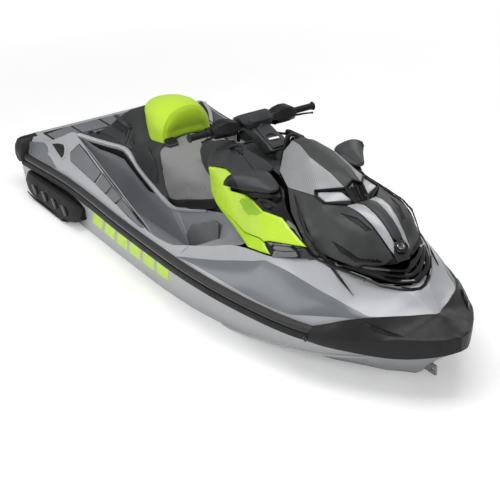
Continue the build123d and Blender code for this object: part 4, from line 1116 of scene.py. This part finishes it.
# ---------------------------------------- upper fairings and knee bolsters
cockpit = Shape()
cockpit.plate(0, [(-240, -110, 925), (-272, -115, 887), (-287, -125, 838), (-231, -150, 795),
    (-147, -175, 774), (-38, -210, 776), (0, -248, 762), (6, -262, 884), (-26, -247, 903),
    (-22, -226, 929), (-24, -190, 946), (-90, -160, 948), (-158, -140, 942)], (-0.2, -1, 0.4),
    [(-150, -165, 850), (-60, -205, 850)], lift=3, edge=8, drop=5, depth=14)
oval = [(107, -190, 1003), (140, -186, 1008), (180, -190, 1003), (196, -196, 994), (160, -202, 984),
    (118, -200, 986), (96, -196, 993)]
cockpit.plate(1, [(16, -272, 888), (-17, -256, 909), (-4, -240, 939), (9, -216, 958), (60, -205, 980),
    (126, -190, 1006), (200, -196, 1000), (295, -212, 982), (405, -240, 974), (343, -264, 946),
    (266, -280, 920), (213, -278, 938), (142, -276, 935), (80, -274, 912)], (0, -1, 0.9), step=9, lift=4,
    edge=6, pockets=[(oval, 12.0)], depth=10)
cockpit.plate(0, [(-143, -152, 944), (-70, -134, 974), (20, -114, 998), (61, -124, 994), (88, -170, 993),
    (73, -190, 981), (-11, -197, 953)], (-0.3, -0.4, 1), lift=3, edge=6, depth=10)
cockpit.plate(0, [(179, -167, 1020), (227, -154, 1014), (340, -160, 1016), (446, -176, 1014),
    (450, -200, 1002), (436, -238, 985), (405, -242, 976), (300, -214, 986), (220, -200, 995)],
    (0.1, -0.5, 1), lift=4, edge=5, depth=10)
# black sheet on the floor of the oval pocket: painted shade of the deep pocket
cockpit.plate(2, [(x + (145 - x) * 0.16, y, z + (996 - z) * 0.16) for x, y, z in oval], (0, -1, 0.9),
    step=9, lift=-5, edge=1, drop=0.5, depth=1)
arch = [(70, -196, 985), (84, -176, 1000), (106, -160, 1012), (140, -154, 1022), (176, -156, 1022),
    (196, -170, 1014), (206, -190, 1002)]
cockpit.tube(0, divide(soften(arch, 20), 10.0, closed=False), 10.0, 10)
build_pair(cockpit, "cockpit_trim_", [charcoal_matt, charcoal, black], "charcoal_plastic",
    "upper_fairing_")

# ---------------------------------------- mirrors
# section across the craft: aft and front edge, underside and top
mirror_lines = Lines({213: (438, 520, 968, 1000), 225: (415, 560, 952, 1005), 250: (392, 586, 942, 1008),
    285: (378, 582, 940, 1010), 330: (372, 530, 941, 1013), 370: (368, 476, 943, 1010),
    400: (368, 440, 947, 1002), 425: (376, 412, 955, 988)})


def mirror_ring(y):
    aft, front, foot, crown = mirror_lines(y)
    middle = 0.5 * (foot + crown)
    corners = [(aft, foot + 6), (front - 34, foot), (front - 4, foot + 10), (front, middle - 6),
        (front - 0.55 * (front - aft), crown), (aft + 6, crown - 3)]
    return [(x, -y, z) for x, z in soften(corners, [6, 14, 14, 22, 30, 5], True, 4)]


mirror = Shape()
mirror.skin(0, [mirror_ring(y) for y in spread(213, 425, 34)], True, True)
mirror.skin(1, [[tuple(np.array(p) + np.array([1.5, 0, 1.0])) for p in mirror_ring(y)]
    for y in spread(392, 428, 8)], True, True)
mirror.plate(1, [(400, -300, 880), (430, -262, 905), (460, -222, 940), (520, -205, 960), (585, -214, 952),
    (622, -232, 925), (600, -262, 932), (560, -285, 935), (480, -310, 920)], (0.3, -0.8, 0.2),
    [(520, -250, 925)], lift=6, edge=6, depth=24)
mirror.plate(1, [(470, -302, 872), (500, -296, 902), (560, -286, 912), (636, -268, 900), (690, -286, 864),
    (645, -306, 860), (560, -312, 850), (500, -308, 858)], (0.2, -1, 0.2), lift=10, edge=6, depth=24,
    pockets=[([(515, -298, 890), (560, -290, 898), (620, -276, 886), (650, -290, 868), (560, -306, 866)],
    6.0)])
mirror.mirrored()
mirror.build("mirror_shells", [charcoal, black], "charcoal_plastic", replaces=["mirror_housings"])

# ---------------------------------------- saddle and backrest
def unplaced(point):
    return (point[0] * MM / STRETCH_X, point[1] * MM / STRETCH_Y, (point[2] - KEEL) * MM)


def baked(piece):
    """Mesh data as the piece's modifiers leave it."""
    shown = piece.evaluated_get(bpy.context.evaluated_depsgraph_get())
    return bpy.data.meshes.new_from_object(shown)


PRESSURE, CLOTH_FRAMES = 4.0, 20


def cushion(points, faces, voxel, cap, hold):
    """Closed form swelled by simulated pressure, as a cover over foam. No point moves further than
    cap, and hold(x, y, z) is the share of its motion that a point keeps."""
    mesh = bpy.data.meshes.new("cushion_form")
    mesh.from_pydata([place(*p) for p in points], [], faces)
    form = bpy.data.objects.new("cushion_form", mesh)
    bpy.context.scene.collection.objects.link(form)
    remesh = form.modifiers.new("remesh", "REMESH")
    remesh.mode = "VOXEL"
    remesh.voxel_size = voxel
    form.data = baked(form)
    form.modifiers.clear()
    count = len(form.data.vertices)
    rest = np.zeros(count * 3)
    form.data.vertices.foreach_get("co", rest)
    cloth = form.modifiers.new("cloth", "CLOTH")
    cloth.settings.quality = 4
    cloth.settings.use_pressure = True
    cloth.settings.uniform_pressure_force = PRESSURE
    cloth.settings.effector_weights.gravity = 0.0
    cloth.collision_settings.use_collision = False
    cloth.collision_settings.use_self_collision = False
    cloth.point_cache.frame_start, cloth.point_cache.frame_end = 1, CLOTH_FRAMES
    for step in range(1, CLOTH_FRAMES + 1):
        bpy.context.scene.frame_set(step)
    swelled = np.zeros(count * 3)
    baked(form).vertices.foreach_get("co", swelled)
    bpy.context.scene.frame_set(1)
    form.modifiers.clear()
    moved = (swelled - rest).reshape(-1, 3)
    length = np.maximum(np.linalg.norm(moved, axis=1), 1e-9)
    share = np.array([hold(*unplaced(p)) for p in rest.reshape(-1, 3)])
    moved *= (share * np.minimum(1.0, cap / length))[:, None]
    rest = (rest.reshape(-1, 3) + moved).reshape(-1)
    form.data.vertices.foreach_set("co", rest)
    smooth = form.modifiers.new("smooth", "SMOOTH")
    smooth.factor, smooth.iterations = 0.5, 6
    form.modifiers.new("subdivide", "SUBSURF").levels = 1
    final = baked(form)
    out_points = [unplaced(v.co) for v in final.vertices]
    out_faces = [tuple(p.vertices) for p in final.polygons]
    normals = [np.array(v.normal) for v in final.vertices]
    bpy.data.objects.remove(form)
    return out_points, out_faces, normals


def stitched(points, normals, seams, width=8.0, depth=5.0):
    """Points with a sewn channel pressed in along each seam."""
    cloud = np.array(points)
    push = np.zeros(len(cloud))
    for seam in seams:
        path = divide(soften(seam, 30.0), 8.0, closed=False)
        for a, b in zip(path, path[1:]):
            near = np.where(np.abs(cloud - (a + b) / 2).max(1) < 22.0)[0]
            d = b - a
            t = np.clip(((cloud[near] - a) @ d) / max(d @ d, 1e-9), 0, 1)
            away = np.linalg.norm(cloud[near] - a - t[:, None] * d, axis=1)
            push[near] = np.maximum(push[near], np.clip(1 - away / width, 0, 1) ** 2)
    return [tuple(p - n * depth * k) for p, n, k in zip(cloud, normals, push)]


def between(rows, share):
    """Row at a share of the way through a list of rows, smoothly."""
    at = share * (len(rows) - 1)
    i = min(int(at), len(rows) - 2)
    t = at - i
    p = [np.array(rows[max(0, min(len(rows) - 1, k))], float) for k in (i - 1, i, i + 1, i + 2)]
    return 0.5 * (2 * p[1] + (p[2] - p[0]) * t + (2 * p[0] - 5 * p[1] + 4 * p[2] - p[3]) * t * t
        + (3 * p[1] - p[0] - 3 * p[2] + p[3]) * t ** 3)


def whole_row(half):
    """Both sides of a row that runs from the starboard foot to the centreline."""
    half = [tuple(p) for p in half]
    return [(x, -y, z) for x, y, z in half] + [(x, y, z) for x, y, z in reversed(half[:-1])]


saddle_rows = [[(-505, 236, 560), (-506, 236, 610), (-514, 234, 670), (-540, 228, 722), (-578, 212, 758),
    (-610, 145, 782), (-622, 70, 790), (-624, 0, 792)], [(-410, 238, 530), (-410, 238, 600),
    (-414, 233, 670), (-424, 215, 718), (-436, 180, 747), (-446, 120, 762), (-450, 60, 768),
    (-450, 0, 770)], [(-260, 237, 584), (-258, 234, 640), (-258, 227, 690), (-262, 208, 732),
    (-270, 175, 760), (-282, 118, 786), (-290, 60, 800), (-292, 0, 804)], [(-110, 236, 634),
    (-108, 232, 670), (-112, 222, 712), (-125, 203, 746), (-150, 176, 774), (-200, 132, 811),
    (-228, 75, 846), (-236, 0, 858)], [(30, 232, 690), (8, 228, 736), (-80, 208, 766), (-130, 192, 782),
    (-167, 178, 792), (-230, 146, 824), (-255, 98, 874), (-258, 0, 894)]]
rings = []
for share in spread(0.0, 1.0, 41):
    half = between(saddle_rows, share)
    ring = soften(whole_row(half), [0] + [16] * 13 + [0])
    foot = ring[0]
    rings.append([foot + np.array([0, 40, -14])] + ring + [ring[-1] + np.array([0, -40, -14])])


def saddle_hold(x, _, z):
    floor_line = 566 + max(0.0, x + 410) * 0.27
    return min(1.0, max(0.0, (z - floor_line) / 60)) * min(1.0, max(0.0, (-60 - x) / 60 + 0.4))


points, faces, normals = cushion(*skin(rings, True, True), voxel=0.0065, cap=0.009, hold=saddle_hold)
seams = []
for side in (-1, 1):
    seams.append([(x, side * y, z) for x, y, z in [(-590, 205, 772), (-522, 198, 752), (-430, 190, 750),
        (-350, 186, 752), (-300, 200, 738), (-280, 216, 712), (-240, 232, 650), (-190, 238, 604)]])
    seams.append([(x, side * y, z) for x, y, z in [(-350, 186, 752), (-290, 150, 786), (-262, 120, 806),
        (-240, 90, 850)]])
points = stitched(points, normals, seams)
saddle = build("saddle_cushion", points, faces, saddle_vinyl, "seat_vinyl", replaces=["saddle_seat"],
    sharp=60)

# half section of the backrest: underside, foot, side, shoulder and top, each as an offset and a height
backrest_lines = Lines({-948: (856, 60, 850, 62, 868, 30, 886, 890),
    -925: (848, 82, 842, 82, 876, 46, 905, 912), -877: (830, 112, 820, 108, 884, 62, 928, 936),
    -781: (790, 150, 786, 140, 900, 82, 952, 962), -708: (775, 170, 752, 150, 898, 92, 958, 968),
    -650: (776, 170, 736, 148, 880, 92, 952, 966), -612: (790, 166, 742, 142, 872, 86, 942, 958),
    -590: (806, 150, 772, 128, 866, 74, 928, 944)})


def backrest_ring(x):
    under, foot_y, foot_z, side_y, side_z, crown_y, crown_z, top = backrest_lines(x)
    half = [(0, under), (foot_y * 0.55, under - 0.15 * (under - foot_z)), (foot_y * 0.86, 0.4 * under
        + 0.6 * foot_z), (foot_y, foot_z), (0.5 * (foot_y + side_y), 0.5 * (foot_z + side_z)),
        (side_y, side_z), (crown_y, crown_z), (0, top)]
    ring = half + [(-y, z) for y, z in reversed(half[1:-1])]
    return [(x, -y, z) for y, z in soften(ring, [30, 10, 10, 9, 30, 30, 40, 40, 40, 30, 30, 9, 10, 10],
        True, 4)]


def backrest_hold(_x, _y, z):
    return min(1.0, max(0.0, (z - 780) / 60))


BACK_END, FRONT_END, FRONT_FACE = -948, -590, -616
rings = [backrest_ring(x) for x in spread(BACK_END, FRONT_END, 34)]
points, faces, normals = cushion(*skin(rings, True, True), voxel=0.006, cap=0.010, hold=backrest_hold)
front_seam = [(-592, -156, 752), (-600, -148, 812), (-606, -140, 868), (-612, -112, 918),
    (-616, -74, 950), (-618, 0, 966), (-616, 74, 950), (-612, 112, 918), (-606, 140, 868),
    (-600, 148, 812), (-592, 156, 752)]
points = stitched(points, normals, [front_seam], 6.0, 4.0)
# faces of the backrest's front face get the darker green: painted shade, as they face away from the top
# light
paint = []
for face in faces:
    x = sum(points[i][0] for i in face) / len(face)
    nx = sum(normals[i][0] for i in face)
    paint.append(1 if x > FRONT_FACE and nx > 0.35 * len(face) else 0)
rest = build("backrest_cushion", points, faces, [green_vinyl, green_vinyl_painted_shade], "backrest_vinyl",
    paint=paint, replaces=["backrest"], sharp=60)

# ---------------------------------------- cowl behind the saddle
cowl_sections = Lines({-1105: (330, 706, 230, 716, 190, 722, 120, 728, 732),
    -1000: (318, 742, 240, 770, 205, 802, 120, 838, 846),
    -900: (290, 744, 240, 766, 212, 802, 120, 846, 852),
    -800: (266, 728, 240, 752, 216, 780, 130, 812, 820),
    -700: (262, 682, 246, 716, 226, 742, 165, 768, 772),
    -600: (262, 640, 250, 680, 238, 735, 190, 776, 780),
    -500: (264, 578, 254, 600, 246, 620, 232, 640, 650),
    -410: (266, 531, 256, 528, 248, 524, 240, 520, 520)})
cowl = Shape()
rows = []
for x in spread(-1105, -410, 70):
    v = cowl_sections(x)
    w = well(max(x, -1072))
    half = [(w[6] + 2, w[7] - 8), (w[6] - 6, w[7] - 3)] + pairs(v)[:4] + [(0, v[8])]
    line = soften([(x, y, z) for y, z in half], 12)
    rows.append([(px, -py, pz) for px, py, pz in line] + [(px, py, pz)
        for px, py, pz in reversed(line[:-1])])
cowl.skin(0, rows)
side = Shape()
# lower side panel, raised between two shut lines
side.plate(0, [(-765, -262, 742), (-660, -252, 752), (-640, -244, 766), (-560, -246, 716),
    (-518, -250, 640), (-512, -262, 588), (-600, -272, 622), (-700, -276, 668)], (0, -1, 0.4),
    [(-620, -258, 700)], lift=5, edge=6, drop=4, depth=8)
side.plate(1, [(-1010, -250, 772), (-900, -246, 770), (-770, -250, 752), (-750, -268, 716),
    (-800, -284, 722), (-900, -300, 742), (-1000, -322, 746)], (0, -0.5, 1), lift=4, edge=6, drop=4,
    depth=8)
# boarding ring in a dish
centre, along, across = np.array([-935.0, -214, 812]), np.array([74.0, -6, -4]), np.array([0.0, -27, 20])
dish = [tuple(centre + along * math.cos(a) * 1.25 + across * math.sin(a) * 1.25) for a in angles(20)]
side.plate(1, dish, (0, -0.6, 0.8), lift=3, edge=5, depth=8,
    pockets=[([tuple(centre + along * math.cos(a) + across * math.sin(a)) for a in angles(20)], 9.0)],
    step=9)
side.tube(3, [centre + np.array([0, -3, 6]) + along * 0.86 * math.cos(a) + across * 0.86 * math.sin(a)
    for a in angles(24, True)], 6.0, 8, caps=False)
side.turned(2, [(0, 20), (6, 20), (8, 16), (8, 9), (4, 7), (4, 0.1)], (-1068, -350, 722), (0, -0.2, 1),
    20)
side.turned(2, [(0, 12), (5, 12), (6, 8), (6, 0.1)], (-1010, -335, 746), (0, -0.2, 1), 16)
for rib in range(3):
    x = -880 + rib * 34
    side.tube(1, [(x, -232, 790), (x + 26, -262, 760), (x + 40, -284, 736)], 3.5, 8)
# black strap pad on the saddle's shoulder, and the black band below the saddle
side.plate(1, [(-612, -150, 789), (-590, -98, 800), (-548, -96, 794), (-520, -110, 788),
    (-534, -158, 777), (-566, -172, 780)], (0, -0.2, 1), lift=9, edge=7, drop=5, depth=8)
side.plate(2, [(-602, -146, 792), (-586, -104, 800), (-552, -102, 795), (-532, -114, 789),
    (-543, -154, 779), (-568, -164, 783)], (0, -0.2, 1), lift=12, edge=3, drop=2, depth=4)
band = [(-505, -250, 548, 560), (-452, -249, 508, 528), (-390, -248, 506, 534), (-250, -247, 556, 586),
    (-110, -244, 610, 640), (40, -240, 666, 700)]
curve = Lines({x: (y, low, high) for x, y, low, high in band})
rows = []
for x in spread(-505, 40, 30):
    y, low, high = curve(x)
    rows.append([(x, y + 12, high + 6), (x, y - 1, high), (x, y - 4, 0.5 * (low + high)), (x, y - 9, low),
        (x, y - 30, low - 10)])
side.skin(2, rows)
side.mirrored()
cowl.add(side.points, side.faces, side.paint)
cowl.build("cowl_moulding", [charcoal_matt, charcoal, black, rail_grey], "charcoal_plastic",
    replaces=["seat_cowl"])

# ---------------------------------------- stern platform, grab handle and console loop
stern = Shape()
stern.plate(0, [(-1604, -381, 556), (-1132, -381, 556), (-1132, 381, 556), (-1604, 381, 556)], (0, 0, 1),
    step=40, lift=1.6, edge=3, drop=1.2, depth=3)
for back, front in ((-1596, -1462), (-1448, -1302), (-1288, -1142)):
    skew = 30
    for inner, outer in ((8, 186), (200, 372)):
        for side in (-1, 1):
            corners = [(back + (skew if inner > 100 else 0), side * outer, 556),
                (back, side * inner, 556), (front, side * inner, 556),
                (front + (skew if front < -1200 and inner > 100 else 0), side * outer, 556)]
            stern.plate(1, corners, (0, 0, 1), step=24, lift=5.4, edge=4, drop=2.5, depth=4)
stern.build("stern_mats", [black, mat_grey], "mat_foam", replaces=["rear_deck_mat"])

handle = Shape()
bow_line = [(-1010, -138, 703), (-1092, -138, 703), (-1107, -120, 703), (-1107, 0, 705),
    (-1107, 120, 703), (-1092, 138, 703), (-1010, 138, 703)]
handle.tube(0, divide(soften(bow_line, 22, steps=5), 14.0, closed=False), 11.5, 16)
for y in (-138, 138):
    handle.turned(1, [(-4, 24), (4, 24), (9, 16), (14, 12.5), (14, 0.1)], (-1022, y, 703), (-1, 0, 0), 24)
for k in range(-6, 7):
    handle.turned(1, [(-5, 11), (-4, 13.2), (4, 13.2), (5, 11)], (-1107, k * 15, 704.5), (0, 1, 0), 16)
handle.build("grab_bar", [rubber, black], "black_plastic", replaces=["grab_handle"])

arch_bar = Shape()
outline = [(-58, 968), (-50, 1010), (-40, 1068), (-26, 1112), (-14, 1117), (14, 1117), (26, 1112),
    (40, 1068), (50, 1010), (58, 968)]
rows = []
for x, size in ((338, 0.93), (341, 1.0), (359, 1.0), (362, 0.93)):
    rows.append([(x, y * size, 968 + (z - 968) * (0.5 + 0.5 * size)) for y, z in outline])
arch_bar.skin(0, rows, True, True)
hole = [(363, 13 * math.cos(a), 1092 + 13 * math.sin(a)) for a in angles(24, True)]
arch_bar.tube(1, hole, 3.2, 8, caps=False)
arch_bar.turned(2, [(0, 12), (1.2, 12), (1.2, 0.1)], (362, 0, 1092), (1, 0, 0), 24)
arch_bar.build("tether_post", [black, steel, gloss_black], "gloss_black", replaces=["console_loop"])

# ---------------------------------------- handlebar
BAR_X, BAR_Z = 20.0, 1072.0
GRIP_INNER = 264.0
bar_parts = Shape()
profile = [(0, 0.1), (0, 19), (4, 20), (8, 17.5)]
for rib in range(13):
    d = 10 + rib * 8.2
    profile += [(d, 15.6), (d + 1.4, 17.2), (d + 5.2, 17.2), (d + 6.6, 15.6)]
profile += [(119, 17.2), (121, 22), (126, 23), (128, 21), (128, 0.1)]
bar_parts.turned(0, profile, (BAR_X, -GRIP_INNER, BAR_Z), (0, -1, 0), 28)
grip_pair = bar_parts.mirrored()
grip_pair.build("ribbed_grips", [rubber], "grip_rubber", body="handlebar", replaces=["grips"])

# distance from the centreline: corners ahead of and above the bar
housing_sections = Lines({90: (-16, -16, 8, -20, 27, -16, 38, 2, 22, 24, -12, 22), 104: (-26, -24, 8, -30,
    36, -28, 54, 2, 28, 33, -20, 30), 140: (-36, -26, 6, -29, 44, -27, 66, 4, 36, 44, -26, 42),
    178: (-40, -27, 4, -29, 44, -27, 68, 2, 36, 52, -26, 50), 215: (-40, -27, 4, -29, 42, -27, 62, 0, 32,
    49, -24, 48), 246: (-30, -26, 4, -32, 32, -30, 46, 0, 26, 34, -20, 32), 262: (-20, -20, 4, -24, 22,
    -22, 32, 0, 20, 24, -16, 22)})
controls = Shape()
rows = []
for y in (90, 104, 140, 178, 215, 246, 262):
    v = housing_sections(y)
    ring = [(BAR_X + ahead, -y, BAR_Z + up) for ahead, up in pairs(v)]
    rows.append([tuple(p) for p in soften(ring, 3.0, True, 1)])
controls.skin(0, rows, True, True)
controls.plate(0, [(84, -110, 1068), (58, -112, 1104), (60, -150, 1118), (58, -190, 1123),
    (52, -232, 1112), (76, -236, 1072), (86, -190, 1070)], (1, -0.2, 0.6), lift=3.0, edge=3, drop=2)
controls.plate(0, [(68, -104, 1047), (84, -112, 1062), (88, -170, 1066), (80, -200, 1056),
    (66, -180, 1047), (62, -130, 1046)], (1, 0, -0.3), lift=2.5, edge=3, drop=2)
controls.plate(1, [(82, -112, 1064), (74, -106, 1050), (70, -100, 1062), (76, -100, 1084),
    (86, -132, 1076), (88, -140, 1070)], (1, 0.2, 0), lift=5.0, edge=2)
for y, z in ((-150, 1092), (-150, 1070), (-178, 1084), (-206, 1076)):
    controls.turned(1, [(0, 9), (5, 9), (7, 7.5), (7, 0.1)], (-16, y, z), (-1, 0, 0.15), 18)
controls.mirrored()
controls.build("control_housings", [black, gloss_black], "black_plastic", body="handlebar",
    replaces=["switch_housings"])
lever = Shape()
lever_path = divide(soften([(40, -214, 1066), (52, -232, 1066), (66, -246, 1068), (70, -300, 1066),
    (73, -346, 1060)], 14), 9.0, closed=False)
reach = len(lever_path) - 1
lever.tube(0, lever_path, [6.5 - 2.3 * i / reach for i in range(reach + 1)], 12)
lever.turned(0, [(-6, 0.1), (-5, 4), (0, 6.4), (5, 4), (6, 0.1)], (73, -347, 1060), (0, -1, -0.1), 14)
lever.turned(1, [(-9, 0.1), (-9, 7), (9, 7), (9, 0.1)], (44, -219, 1066), (0, 0, 1), 14)
lever.mirrored()
lever.build("finger_levers", [black, steel], "black_plastic", body="handlebar",
    replaces=["control_levers"])

# gauge pod: offset from the centreline, then corners as station and height
pod_sections = Lines({0: (-38, 1096, -24, 1108, 60, 1146, 82, 1140, 112, 1106, 100, 1058, 66, 1052, -20,
    1084), 56: (-38, 1096, -24, 1107, 56, 1144, 78, 1138, 108, 1103, 96, 1062, 64, 1057, -20, 1084),
    80: (-34, 1096, -24, 1104, 42, 1132, 62, 1128, 92, 1100, 82, 1074, 56, 1070, -18, 1086),
    94: (-24, 1097, -18, 1101, 24, 1116, 38, 1114, 64, 1100, 58, 1088, 40, 1086, -12, 1092)})
pod = Shape()
rows = []
for y in (-94, -90, -84, -76, -66, -56, -36, -16, 0, 16, 36, 56, 66, 76, 84, 90, 94):
    v = pod_sections(abs(y))
    rows.append([tuple(p) for p in soften([(x, y, z) for x, z in pairs(v)], 6.0, True, 2)])
pod.skin(0, rows, True, True)
screen = [(-18, -70, 1106), (48, -62, 1139), (48, 62, 1139), (-18, 70, 1106)]
pod.plate(0, screen, (-0.4, 0, 1), lift=3, edge=4, drop=2)
pod.plate(1, [(-12, -62, 1109), (43, -56, 1136), (43, 56, 1136), (-12, 62, 1109)], (-0.4, 0, 1), lift=3.6,
    edge=2, drop=1)
pod.plate(0, [(88, -78, 1112), (112, -50, 1110), (114, 0, 1110), (112, 50, 1110), (88, 78, 1112),
    (84, 50, 1136), (88, 0, 1139), (84, -50, 1136)], (1, 0, 0.7), lift=2, edge=3, drop=2)
pod.turned(2, [(-3, 11), (3, 11), (4, 9.5), (4, 7), (0, 6), (0, 0.1)], (106, -6, 1082), (1, 0, -0.2), 24)
pod.turned(1, [(0, 5.8), (1.5, 5.6), (1.5, 0.1)], (106, -6, 1082), (1, 0, -0.2), 6)
pod.build("instrument_pod", [charcoal_matt, gloss_black, steel], "charcoal_plastic", body="handlebar",
    replaces=["gauge_pod"])

# neck with a round recess and a blank label
neck = Shape()
profile = [(208, 961), (272, 1006), (236, 1028), (130, 1064), (84, 1080), (2, 1078), (0, 1048),
    (120, 1004)]
rows = []
for y, inset in ((-58, 7), (-55, 3), (-48, 0), (48, 0), (55, 3), (58, 7)):
    middle = np.mean(profile, axis=0)
    ring = [(middle[0] + (x - middle[0]) * (1 - inset / 90), y, middle[1]
        + (z - middle[1]) * (1 - inset / 50)) for x, z in profile]
    rows.append([tuple(p) for p in soften(ring, 9.0, True, 3)])
neck.skin(0, rows, True, True)
up_x, up_z = 0.341, 0.94
middle = np.array([196.0, -4, 1042])
circle = [tuple(middle + np.array([30 * up_z * math.cos(a), 32 * math.sin(a), -30 * up_x * math.cos(a)]))
    for a in angles(22)]
neck.plate(0, [(262, -44, 1012), (262, 44, 1012), (196, 46, 1037), (112, 40, 1069), (96, 24, 1076),
    (96, -24, 1076), (112, -40, 1069), (196, -46, 1037)], (up_x, 0, up_z), pockets=[(circle, 11.0)],
    step=8, lift=13, edge=5, drop=3, depth=12)
inner = [tuple(middle + np.array([24 * up_z * math.cos(a), 26 * math.sin(a),
    -24 * up_x * math.cos(a)]) - np.array([up_x, 0, up_z]) * 6) for a in angles(22)]
neck.plate(1, inner, (up_x, 0, up_z), lift=4, edge=3)
neck.plate(2, [(206, -36, 1046), (218, -34, 1041), (222, 22, 1040), (210, 24, 1045)], (up_x, 0, up_z),
    lift=9, edge=1, drop=0.4, depth=2)
for y in (-52, 52):
    neck.turned(3, [(-2, 7), (2, 7), (3, 6), (3, 0.1)], (50, y, 1081), (0, 0, 1), 16)
neck.build("steering_neck_cover", [charcoal, black, label_white, steel], "charcoal_plastic",
    body="handlebar", replaces=["steering_neck"])
clamps = Shape()
for y in (-84, -72, 72, 84):
    clamps.turned(0, [(-4, 13.5), (-3, 15), (3, 15), (4, 13.5)], (BAR_X, y, BAR_Z), (0, 1, 0), 24)
for sign in (-1, 1):
    clamps.turned(1, [(-150, 11.2), (150, 11.2)], (BAR_X, sign * 220, BAR_Z), (0, 1, 0), 24)
clamps.turned(1, [(-80, 11.2), (80, 11.2)], (BAR_X, 0, BAR_Z), (0, 1, 0), 24)
clamps.build("bar_and_clamps", [steel, black], "black_plastic", body="handlebar",
    replaces=["handlebar_tube"])

# ---------------------------------------- mirror glasses on the mirrors' aft faces
glass = Shape()
glass.plate(0, [(mirror_lines(y)[0] + 1, -y, mirror_lines(y)[2] + 12) for y in (240, 290, 340, 390)]
    + [(mirror_lines(y)[0] + 2, -y, mirror_lines(y)[3] - 10) for y in (396, 340, 290, 240)], (-1, 0, 0),
    lift=2.0, edge=3, drop=1.5)
glass.mirrored()
glass.build("mirror_faces", [mirror_glass], "mirror_glass", replaces=["mirror_glasses"])

# ---------------------------------------- finishes of the CAD pieces that stay
for finish, nodes in ((hull_silver, ["hull"]), (engine_metal, ["engine_block"]),
        (charcoal_matt, ["console", "glove_lid"]), (steel, ["bow_eye", "stern_eyes", "impeller",
        "drive_shaft"]), (black, ["drain_plugs", "reverse_bucket"]),
        (alloy, ["ride_plate", "intake_grate", "pump_housing", "steering_nozzle"])):
    for node in nodes:
        piece = frame["nodes"][node]
        piece.data.materials.clear()
        piece.data.materials.append(finish.material)

# ---------------------------------------- floor, light and camera
def grid_floor(size, height):
    mesh = bpy.data.meshes.new("floor")
    steps = 12
    points = [(-size + 2 * size * i / steps, -size + 2 * size * j / steps, height) for j in range(steps
        + 1) for i in range(steps + 1)]
    row = steps + 1
    faces = [(j * row + i, j * row + i + 1, (j + 1) * row + i + 1, (j + 1) * row + i)
        for j in range(steps) for i in range(steps)]
    mesh.from_pydata(points, [], faces)
    piece = bpy.data.objects.new("floor", mesh)
    bpy.context.scene.collection.objects.link(piece)
    piece.data.materials.append(floor_material())
    return piece


scene = bpy.context.scene
floor = grid_floor(14.0, WATER)
floor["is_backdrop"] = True


def lamp(name, place_at, aim, size, watts):
    data = bpy.data.lights.new(name, "AREA")
    data.shape = "RECTANGLE"
    data.size, data.size_y = size
    data.energy = watts
    piece = bpy.data.objects.new(name, data)
    scene.collection.objects.link(piece)
    piece.location = place_at
    piece.rotation_euler = (Vector(aim) - Vector(place_at)).to_track_quat("-Z", "Y").to_euler()


lamp("top_light", (0.6, -0.4, 4.6), (0.0, 0.0, 0.2), (4.5, 3.0), 135)
lamp("front_light", (4.6, -2.2, 2.6), (0.3, -0.1, 0.3), (3.0, 2.2), 30)
lamp("side_light", (-1.5, -4.6, 2.4), (-0.2, 0.0, 0.3), (4.5, 2.0), 84)
lamp("rim_light", (-1.5, 4.5, 3.0), (0.0, 0.0, 0.4), (4.0, 1.6), 45)

world = bpy.data.worlds.new("studio")
scene.world = world
world.use_nodes = True
tree = world.node_tree


def backdrop(node, strength):
    node.inputs["Color"].default_value = (1.0, 1.0, 1.0, 1.0)
    node.inputs["Strength"].default_value = strength
    return node.outputs[0]


# the camera sees white, the craft is lit by less
lighting = backdrop(tree.nodes["Background"], 0.33)
seen = backdrop(tree.nodes.new("ShaderNodeBackground"), 1.0)
path, either = tree.nodes.new("ShaderNodeLightPath"), tree.nodes.new("ShaderNodeMath")
either.operation = "MAXIMUM"
mixer = tree.nodes.new("ShaderNodeMixShader")
for source, socket in ((path.outputs["Is Camera Ray"], either.inputs[0]),
        (path.outputs["Is Transmission Ray"], either.inputs[1]), (either.outputs[0], mixer.inputs["Fac"]),
        (lighting, mixer.inputs[1]), (seen, mixer.inputs[2]), (mixer.outputs[0],
        tree.nodes["World Output"].inputs["Surface"])):
    tree.links.new(source, socket)

AZIMUTH, ELEVATION, DISTANCE = 54.713, 26.844, 8.088
target = Vector((-0.002, 0.0, KEEL + 0.322))
azimuth, elevation = math.radians(AZIMUTH), math.radians(ELEVATION)
back = Vector((math.sin(azimuth) * math.cos(elevation), -math.cos(azimuth) * math.cos(elevation),
    math.sin(elevation)))
camera_data = bpy.data.cameras.new("camera")
camera_data.lens = 108.0
camera_data.sensor_width = 36.0
camera = bpy.data.objects.new("camera", camera_data)
scene.collection.objects.link(camera)
camera.location = target + back * DISTANCE
camera.rotation_euler = (-back).to_track_quat("-Z", "Y").to_euler()
scene.camera = camera
scene.view_settings.view_transform = "Standard"

low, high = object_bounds()
{"cad": [list(cad_low), list(cad_high)], "visual": [list(low), list(high)]}
